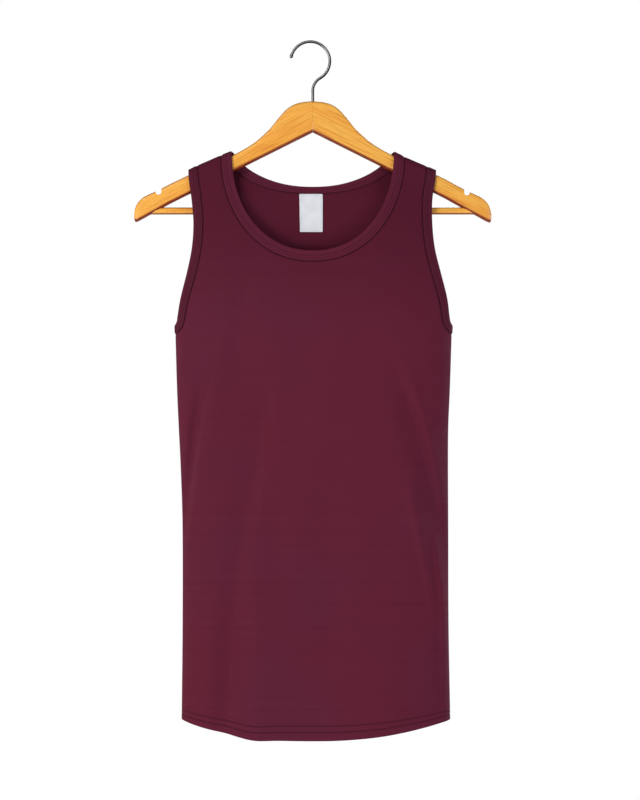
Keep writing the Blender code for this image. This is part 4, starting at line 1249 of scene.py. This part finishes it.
# ---------------------------------------------------------------- neck band
# A crosswise strip of the same jersey, folded round the raw neck edge and topstitched
# with a twin needle. It is one closed ring, over the hanger at both shoulders.
BAND_EDGE_ROUND = 0.0015        # the fold at the free edge
BAND_SEAM_HALF = 0.00075        # half thickness at the edge sewn to the panel
BAND_SEAM_ROUND = 0.0008
BAND_THINS = (0.72, 0.25)       # from which share of the width, over what share
BAND_ROUNDED = (0.97, 0.90)     # how far its free and its sewn edge are rounded off
BAND_ROWS = {"front": 110, "back": 84}
# The twin lines: distance from the band's sewn edge, as shares of its width
TWIN_LINES = (0.255, 0.515)
BAND_DIP = 0.00028
BAND_DIP_RUN = 0.0006
BAND_SEAM_SHADE = 0.30             # how dark the painted shade is in a twin line
# Where across the band its section has points, by share of its width
BAND_SHARES = (0.0, 0.012, 0.035, 0.07, 0.12, 0.20, 0.30, 0.40, 0.445, 0.485, 0.525, 0.58,
               0.65, 0.70, 0.745, 0.79, 0.85, 0.90, 0.94, 0.97, 0.99, 1.0)
BAND_CREASE = math.radians(80.0)
BAND_JERSEY = ((0.1280, 0.0140, 0.0350), (0.0860, 0.0085, 0.0235), (0.1130, 0.0158, 0.0405))


def band_stretches(edge_of, widths, runs):
    """Stretches of a band as (side, face, edge, ways, widths), each run the ring's way."""
    found = []
    for side, face, low_key, way in runs:
        edge, ways = edge_of(side, face, BAND_ROWS[face])
        wide = band_widths(widths, low_key, len(edge))
        found.append((side, face, edge[::way], ways[::way], wide[::way]))
    return found


def band_ring(side, face, spot, way, width):
    """One section of a band: its points, each one's inset from the free edge and the
    painted shade in its grooves and at its sewn edge."""
    shares = np.array(BAND_SHARES)
    inset = shares * width
    place = spot + way * inset[:, None]
    here, out = cloth_frame(side, face, np.maximum(place[:, 0], 0.0), place[:, 1])
    fold = np.clip(1.0 - inset / BAND_EDGE_ROUND, 0.0, 1.0)
    sewn_edge = np.clip(1.0 - (width - inset) / BAND_SEAM_ROUND, 0.0, 1.0)
    half = BAND / 2 + (BAND_SEAM_HALF - BAND / 2) * eased((shares - BAND_THINS[0])
                                                          / BAND_THINS[1])
    half = half * (np.sqrt(1.0 - BAND_ROUNDED[0] * fold ** 2)
                   * np.sqrt(1.0 - BAND_ROUNDED[1] * sewn_edge ** 2))
    groove = sum(drawn_in(width * (1.0 - line) - inset, BAND_DIP, BAND_DIP_RUN)
                 for line in TWIN_LINES)
    groove_shade = np.clip(BAND_SEAM_SHADE * groove / BAND_DIP + sewn_edge, 0.0, 1.0)
    points = np.vstack([here + out * (half - groove)[:, None],
                        (here - out * (half - INNER_DIP * groove)[:, None])[::-1]])
    return points, np.concatenate([inset, inset[::-1]]), np.concatenate([groove_shade, groove_shade[::-1]])


def folded_band(name, stretches, finish):
    """A closed ring of like sections: a soft fold at the free edge, two sewn grooves and
    a thin sewn edge. Its UV map runs along the band and across it, in metres."""
    rings, insets, seam_shade = zip(*[
        band_ring(side, face, *station) for side, face, edge, ways, wide in stretches
        for station in zip(edge[:-1], ways[:-1], wide[:-1])])
    last, count = len(rings) - 1, len(rings[0])
    piece = piece_from(name, np.vstack(rings), tube_faces(last + 1, count, closed=True),
                       finish, BAND_CREASE)
    # Painted shade in the twin lines' grooves and at the sewn edge.
    paint(piece, "seam_shade", np.concatenate(seam_shade))
    along = lengths_along(np.array([ring[0] for ring in rings + rings[:1]]))
    ring, corner = np.divmod(corner_points(piece), count)
    closing = np.arange(len(ring)) // (4 * count) == last
    turned = np.where(closing & (ring == 0), last + 1, ring)
    uv_map(piece, np.column_stack([along[turned], np.array(insets)[ring, corner]]))
    return piece


band_jersey = knit("maroon_band_jersey", BAND_JERSEY, 0.3, 0.35)
neck_stretches = band_stretches(neck_edge, NECK_BAND_WIDTH, (
    ("right", "front", "front", 1), ("right", "back", "back", -1),
    ("left", "back", "back", 1), ("left", "front", "front", -1)))
neck = folded_band("neck_band_cloth", neck_stretches, band_jersey)
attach(neck, "root")
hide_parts("neck_band")

# ------------------------------------------------------------ armhole bands
# The same folded strip round each armhole, its join at the underarm. It lies over the
# hanger's arm at the strap's outer edge and stands on edge at the side of the body.
# The band's jersey made darker: painted shade on the armhole bands.
ARMHOLE_SHADED_JERSEY = ((0.1060, 0.0112, 0.0285), (0.0720, 0.0070, 0.0195), (0.0940, 0.0130, 0.0335))

armhole_shaded_jersey = knit("maroon_armhole_jersey_shaded", ARMHOLE_SHADED_JERSEY, 0.3, 0.35)
armhole_stretches = {}
for side in ("left", "right"):
    armhole_stretches[side] = band_stretches(
        armhole_edge, ARMHOLE_BAND_WIDTH,
        ((side, "front", "underarm", 1), (side, "back", "underarm", -1)))
    band = folded_band("armhole_band_%s_cloth" % side, armhole_stretches[side],
                       armhole_shaded_jersey)
    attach(band, "root")
    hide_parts("armhole_band_" + side)

# --------------------------------------------------------------- neck label
# A bare white woven patch with turned edges, sewn round on the inside of the back,
# just below the neck band.
LABEL_WIDTH = 0.0292
LABEL_LENGTH = 0.0470
LABEL_ACROSS = -0.0022
LABEL_TOP_GAP = 0.0006          # below the neck band
LABEL_CORNER = 0.0011
LABEL_HALF = 0.00032
LABEL_TURN = 0.0028             # how wide its edges are turned under
LABEL_TURN_RAISE = 0.00016      # how much thicker it is there
LABEL_TURN_STEP = (0.00224, 0.00112)    # from how far in, over what, it thins again
LABEL_SEAM = 0.00154            # its stitches' distance from its edge
LABEL_DIP = (0.00013, 0.0004)   # how deep they draw it in, over what
LABEL_EDGE_ROUND = 0.00045
LABEL_EDGE_ROUNDED = 0.94
LABEL_SWAY = 0.00012            # how unevenly it lies: height, then turns across and down
LABEL_SWAY_ACROSS = (260.0, 1.0)
LABEL_SWAY_DOWN = (190.0, 0.5)
LABEL_SKEW = 0.0009             # its left edge leans in towards the foot
LABEL_COLUMNS = 44
LABEL_ROWS = 68
LABEL_CROWDING = 0.55
LABEL_CREASE = math.radians(70.0)
LABEL_WHITE = (0.820, 0.832, 0.860)
LABEL_SHADE = (0.560, 0.580, 0.625)
TAPE_THREADS = 0.00042          # from thread to thread, and from pick to pick
TAPE_PICKS = 0.00036
TAPE_GRAIN = {"cloud": ((60.0, 60.0, 1.0), 3.0), "slub": ((120.0, 1600.0, 1.0), 2.0)}
TAPE_LAYERS = (
    ("cloud", 0.35, 0.7, 0.0, 0.30, LABEL_SHADE),
    ("slub", 0.5, 0.8, 0.0, 0.25, LABEL_SHADE),
    ("weave", 0.0, 0.6, 0.18, 0.0, LABEL_SHADE),
    ("from_turn", 0.0, 0.00045, 0.55, 0.0, LABEL_SHADE),
)
TAPE_ROUGHNESS = ("slub", 0.3, 0.7, 0.42, 0.56)
TAPE_RELIEF = (("weave", 0.00008, 0.6),)


def label_place(across, down):
    """Reach and height of a place on the label, in metres from its top middle."""
    lean = LABEL_SKEW * (0.5 - across / LABEL_WIDTH) * down / LABEL_LENGTH
    top = NECK_DROP["back"] + NECK_BAND_WIDTH["back"] + LABEL_TOP_GAP
    return LABEL_ACROSS + across + lean, -(top + down)


def on_back(reach, height, inwards):
    """Points this far inwards of the middle of the back's wall, by signed reach."""
    points = np.zeros(reach.shape + (3,))
    for side, sign in SIDE_SIGN.items():
        chosen = reach * sign >= 0.0
        here, out = cloth_frame(side, "back", np.abs(reach[chosen]), height[chosen])
        points[chosen] = here - out * np.broadcast_to(inwards, reach.shape)[chosen][:, None]
    return points


def label_lines(count, size):
    """Places from edge to edge of the label, closer together towards its edges."""
    even = np.linspace(-1.0, 1.0, count + 1)
    crowded = np.sin(even * math.pi / 2)
    return (crowded * LABEL_CROWDING + even * (1.0 - LABEL_CROWDING)) * size / 2


def label_grid():
    """A grid over the label whose outer rings follow its rounded corners: across, down
    and the distance in from its edge."""
    x, y = np.meshgrid(label_lines(LABEL_COLUMNS, LABEL_WIDTH),
                       label_lines(LABEL_ROWS, LABEL_LENGTH))
    inner_x, inner_y = LABEL_WIDTH / 2 - LABEL_CORNER, LABEL_LENGTH / 2 - LABEL_CORNER
    over_x, over_y = np.maximum(np.abs(x) - inner_x, 0.0), np.maximum(np.abs(y) - inner_y, 0.0)
    most, length = np.maximum(over_x, over_y), np.hypot(over_x, over_y)
    pull = np.where(length > 0.0, most / np.maximum(length, 1e-9), 1.0)
    x = np.sign(x) * (np.minimum(np.abs(x), inner_x) + over_x * pull)
    y = np.sign(y) * (np.minimum(np.abs(y), inner_y) + over_y * pull)
    depth = np.minimum(LABEL_WIDTH / 2 - np.abs(x), LABEL_LENGTH / 2 - np.abs(y))
    return x, y, np.where((over_x > 0) & (over_y > 0), LABEL_CORNER - most, depth)


def woven_white(name):
    """Fine satin-woven tape: close cross threads, a darker line where its edge ends."""
    tape = Finish(name)
    place = tape.add("ShaderNodeUVMap").outputs["UV"]
    x, y, _ = tape.add("ShaderNodeSeparateXYZ", None, Vector=place).outputs
    weave = tape.math("MULTIPLY", tape.wave(tape.math("DIVIDE", x, TAPE_THREADS)),
                      tape.wave(tape.math("DIVIDE", y, TAPE_PICKS)))
    tape.stretched_grain(place, TAPE_GRAIN)
    tape.grain["weave"] = tape.math("MULTIPLY_ADD", weave, 0.5, 0.5)
    from_turn = tape.math("SUBTRACT", tape.painted("from_edge"), LABEL_TURN)
    tape.grain["from_turn"] = tape.math("ABSOLUTE", from_turn)
    return tape.done(tape.layered(LABEL_WHITE, TAPE_LAYERS), TAPE_ROUGHNESS, TAPE_RELIEF,
                     Sheen_Weight=0.10, Specular_IOR_Level=0.40)


across, down, depth = label_grid()
reach, height = label_place(across, down + LABEL_LENGTH / 2)
step_from, step_run = LABEL_TURN_STEP
half = LABEL_HALF + LABEL_TURN_RAISE * (1.0 - eased((depth - step_from) / step_run))
half -= drawn_in(depth - LABEL_SEAM, *LABEL_DIP)
rounding = 1.0 - np.clip(depth / LABEL_EDGE_ROUND, 0.0, 1.0)
half *= np.sqrt(np.clip(1.0 - LABEL_EDGE_ROUNDED * rounding ** 2, 0.0, 1.0))
sway = LABEL_SWAY * (np.sin(across * LABEL_SWAY_ACROSS[0] + LABEL_SWAY_ACROSS[1])
                     * np.sin(down * LABEL_SWAY_DOWN[0] + LABEL_SWAY_DOWN[1]))
seat = CLOTH / 2 + GAP + LABEL_HALF + LABEL_TURN_RAISE + LABEL_SWAY
walls = [on_back(reach, height, seat + sway + part).reshape(-1, 3) for part in (half, -half)]
label_quads = []
for r, c in np.ndindex(LABEL_ROWS, LABEL_COLUMNS):
    corner = r * (LABEL_COLUMNS + 1) + c
    beyond = corner + LABEL_COLUMNS + 1
    label_quads.append((corner, corner + 1, beyond + 1, beyond))
label = piece_from("neck_label_tape", np.vstack(walls), wall_faces(label_quads, depth.size),
                   woven_white("white_label_tape"), LABEL_CREASE)
flat_places = np.column_stack([across.ravel(), down.ravel()])
uv_map(label, np.vstack([flat_places, flat_places])[corner_points(label)])
paint(label, "from_edge", np.tile(depth.ravel(), 2))
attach(label, "root")
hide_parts("neck_label")

# ----------------------------------------------------------------- stitches
# Twin-needle topstitching in polyester thread a shade darker than the cloth, and a
# white line of fine stitches round the label. Each stitch is a small pinched bead.
TWIN_STITCH = {"Pitch": 0.0029, "Length": 0.0022, "Width": 0.00055, "Height": 0.00038}
LABEL_STITCH = {"Pitch": 0.0019, "Length": 0.0013, "Width": 0.00036, "Height": 0.00030}
STITCH_SLANT = 0.10
STITCH_RISE = 0.25 * TWIN_STITCH["Height"]      # of a bead's middle out of the cloth
LABEL_STITCH_SINK = 0.00008
BAND_THIN_LINE = 0.85           # how full the band is at the line nearer its sewn edge
HEM_SEAM_END = 0.0012           # short of the side seam
HEM_SEAM_STEPS = 160
LABEL_SEAM_STEPS = 160
BEAD_SEGMENTS = 6
BEAD_RINGS = 4
THREAD_DARK = (0.0420, 0.0035, 0.0105)
THREAD_LIGHT = (0.0680, 0.0060, 0.0170)
THREAD_WHITE = (0.62, 0.64, 0.68)
THREAD_GREY = (0.44, 0.46, 0.50)
THREAD_NOISES = {"twist": (2600.0, 2.0), "patches": (60.0, 2.0)}    # scale, detail
THREAD_PALE = {"twist": 0.6, "patches": 0.4}    # the share of light thread each brings
THREAD_ROUGHNESS = ("twist", 0.3, 0.7, 0.66, 0.78)
THREAD_RELIEF = (("twist", 0.00006, 0.5),)


def thread(name, light, dark):
    """Twisted polyester thread, paler on the top of each turn."""
    yarn = Finish(name)
    for grain, noise in THREAD_NOISES.items():
        yarn.grain[grain] = yarn.noise(yarn.place, *noise)
    share = yarn.math("ADD", *[yarn.between(yarn.grain[grain], 0.35, 0.65, 0.0, most)
                               for grain, most in THREAD_PALE.items()])
    return yarn.done(yarn.blend(share, dark, light), THREAD_ROUGHNESS, THREAD_RELIEF,
                     Specular_IOR_Level=0.15)


def stitching_tree():
    """Nodes that sew stitches along every line of a mesh of edges."""
    tree = bpy.data.node_groups.new("topstitching", "GeometryNodeTree")
    tree.is_modifier = True
    for name, kind in (("Lines", "Geometry"), ("Pitch", "Float"), ("Length", "Float"),
                       ("Width", "Float"), ("Height", "Float"), ("Slant", "Float"),
                       ("Seed", "Int"), ("Thread", "Material")):
        tree.interface.new_socket(name, in_out="INPUT", socket_type="NodeSocket" + kind)
    tree.interface.new_socket("Stitches", in_out="OUTPUT", socket_type="NodeSocketGeometry")
    nodes = Nodes(tree)
    add = nodes.add
    given = add("NodeGroupInput").outputs
    line = add("GeometryNodeMeshToCurve", Mesh=given["Lines"])
    spots = add("GeometryNodeCurveToPoints", {"mode": "LENGTH"}, Curve=line.outputs[0],
                Length=given["Pitch"])
    bead = add("GeometryNodeMeshUVSphere", Segments=BEAD_SEGMENTS, Rings=BEAD_RINGS, Radius=0.5)
    size = add("ShaderNodeCombineXYZ", X=given["Length"], Y=given["Width"],
               Z=given["Height"])
    # A UV sphere's poles lie on Z, so the bead is turned to have them at its ends.
    laid = add("GeometryNodeTransform", Geometry=bead.outputs[0],
               Rotation=(0.0, math.pi / 2, 0.0))
    shaped = add("GeometryNodeTransform", Geometry=laid.outputs[0], Scale=size.outputs[0])
    out = add("GeometryNodeInputNamedAttribute", {"data_type": "FLOAT_VECTOR"}, Name="out")
    turn = add("FunctionNodeAxesToRotation", {"primary_axis": "X", "secondary_axis": "Z"})
    nodes.put(turn.inputs[0], spots.outputs["Tangent"])
    nodes.put(turn.inputs[1], out.outputs[0])
    wobble = add("FunctionNodeRandomValue", {"data_type": "FLOAT"}, Seed=given["Seed"])
    least = add("ShaderNodeMath", {"operation": "MULTIPLY"})
    nodes.put(least.inputs[0], given["Slant"])
    nodes.put(least.inputs[1], -1.0)
    limits = {"Min": least.outputs[0], "Max": given["Slant"]}
    for socket in wobble.inputs:
        if socket.name in limits and socket.type == "VALUE" and socket.enabled:
            nodes.put(socket, limits[socket.name])
    chance = [socket for socket in wobble.outputs if socket.enabled][0]
    tilt = add("ShaderNodeCombineXYZ", Z=chance)
    slanted = add("FunctionNodeRotateRotation", {"rotation_space": "LOCAL"})
    nodes.put(slanted.inputs[0], turn.outputs[0])
    nodes.put(slanted.inputs[1], tilt.outputs[0])
    sewn_on = add("GeometryNodeInstanceOnPoints", Points=spots.outputs["Points"],
                  Instance=shaped.outputs[0], Rotation=slanted.outputs[0])
    real = add("GeometryNodeRealizeInstances", Geometry=sewn_on.outputs[0])
    smooth = add("GeometryNodeSetShadeSmooth", Geometry=real.outputs[0])
    done = add("GeometryNodeSetMaterial", Geometry=smooth.outputs[0],
               Material=given["Thread"])
    nodes.put(add("NodeGroupOutput").inputs[0], done.outputs[0])
    return tree


topstitching = stitching_tree()


def sewn(name, lines, finish, stitch, seed):
    """Stitches along lines of (points, directions out of the cloth, closed)."""
    points, outs, edges = [], [], []
    for line, out, closed in lines:
        start, count = len(points), len(line)
        points += [tuple(point) for point in line]
        outs.append(out)
        edges += [(start + i, start + (i + 1) % count) for i in range(count - 1 + closed)]
    mesh = bpy.data.meshes.new(name)
    mesh.from_pydata(points, edges, [])
    layer = mesh.attributes.new("out", "FLOAT_VECTOR", "POINT")
    layer.data.foreach_set("vector", np.vstack(outs).astype(np.float32).ravel())
    piece = placed(name, mesh)
    nodes = piece.modifiers.new("topstitching", "NODES")
    nodes.node_group = topstitching
    chosen = dict(stitch, Slant=STITCH_SLANT, Seed=seed, Thread=finish)
    for item in topstitching.interface.items_tree:
        if item.in_out == "INPUT" and item.name in chosen:
            nodes[item.identifier] = chosen[item.name]
    return applied(piece)


def band_seams(stretches):
    """Both twin lines round a band, on its outer side."""
    lines = []
    for seam, thickness in zip(TWIN_LINES, (BAND_THIN_LINE, 1.0)):
        half = BAND_SEAM_HALF + thickness * (BAND / 2 - BAND_SEAM_HALF)
        points, outs = [], []
        for side, face, edge, ways, wide in stretches:
            place = edge + ways * (wide * (1.0 - seam))[:, None]
            here, out = cloth_frame(side, face, np.maximum(place[:, 0], 0.0), place[:, 1])
            points.append((here + out * (half - BAND_DIP + STITCH_RISE))[:-1])
            outs.append(out[:-1])
        lines.append((np.vstack(points), np.vstack(outs), True))
    return lines


def hem_seams(face):
    """Both twin lines across a panel's hem, on its outer side."""
    lines = []
    for number in range(len(HEM_STITCHES)):
        points, outs = [], []
        for side, way in (("left", -1), ("right", 1)):
            half = float(read_table(SIDE_SEAM, SIDE_COLUMN[side], HEM_SIDE[1]))
            level = hem_height(side, face, half)
            end = float(seam_reach(side, face, -level)) - HEM_SEAM_END
            reach = np.linspace(0.0, end, HEM_SEAM_STEPS)
            across = np.abs(cloth_middle(side, face, reach, np.full(len(reach), level))[:, 0])
            height = hem_height(side, face, across) + hem_seam_height(number, across)
            here, out = cloth_frame(side, face, reach, height)
            points.append((here + out * (CLOTH / 2 - STITCH_DIP + STITCH_RISE))[::way])
            outs.append(out[::way])
        lines.append((np.vstack([points[0], points[1][1:]]),
                      np.vstack([outs[0], outs[1][1:]]), False))
    return lines


maroon_thread = thread("maroon_thread", THREAD_LIGHT, THREAD_DARK)
for place, slot, lines, seed in (
        ("neck", "band_jersey", band_seams(neck_stretches), 3),
        ("armhole_left", "band_jersey", band_seams(armhole_stretches["left"]), 5),
        ("armhole_right", "band_jersey", band_seams(armhole_stretches["right"]), 7),
        ("front_hem", "jersey", hem_seams("front"), 11),
        ("back_hem", "jersey", hem_seams("back"), 13)):
    stitches = sewn(place + "_stitches", lines, maroon_thread, TWIN_STITCH, seed)
    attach(stitches, "root")

turn = np.linspace(0.0, 2 * math.pi, LABEL_SEAM_STEPS, endpoint=False)
square = 1.0 / np.maximum(np.abs(np.cos(turn)), np.abs(np.sin(turn)))
ring_x = (LABEL_WIDTH / 2 - LABEL_SEAM) * np.cos(turn) * square
ring_y = (LABEL_LENGTH / 2 - LABEL_SEAM) * np.sin(turn) * square
reach, height = label_place(ring_x, ring_y + LABEL_LENGTH / 2)
base = on_back(reach, height, seat + LABEL_HALF + LABEL_TURN_RAISE - LABEL_STITCH_SINK)
out = on_back(reach, height, 1.0) - on_back(reach, height, 0.0)
stitches = sewn("label_stitches", [(base, out, True)],
                thread("white_thread", THREAD_WHITE, THREAD_GREY), LABEL_STITCH, 17)
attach(stitches, "root")
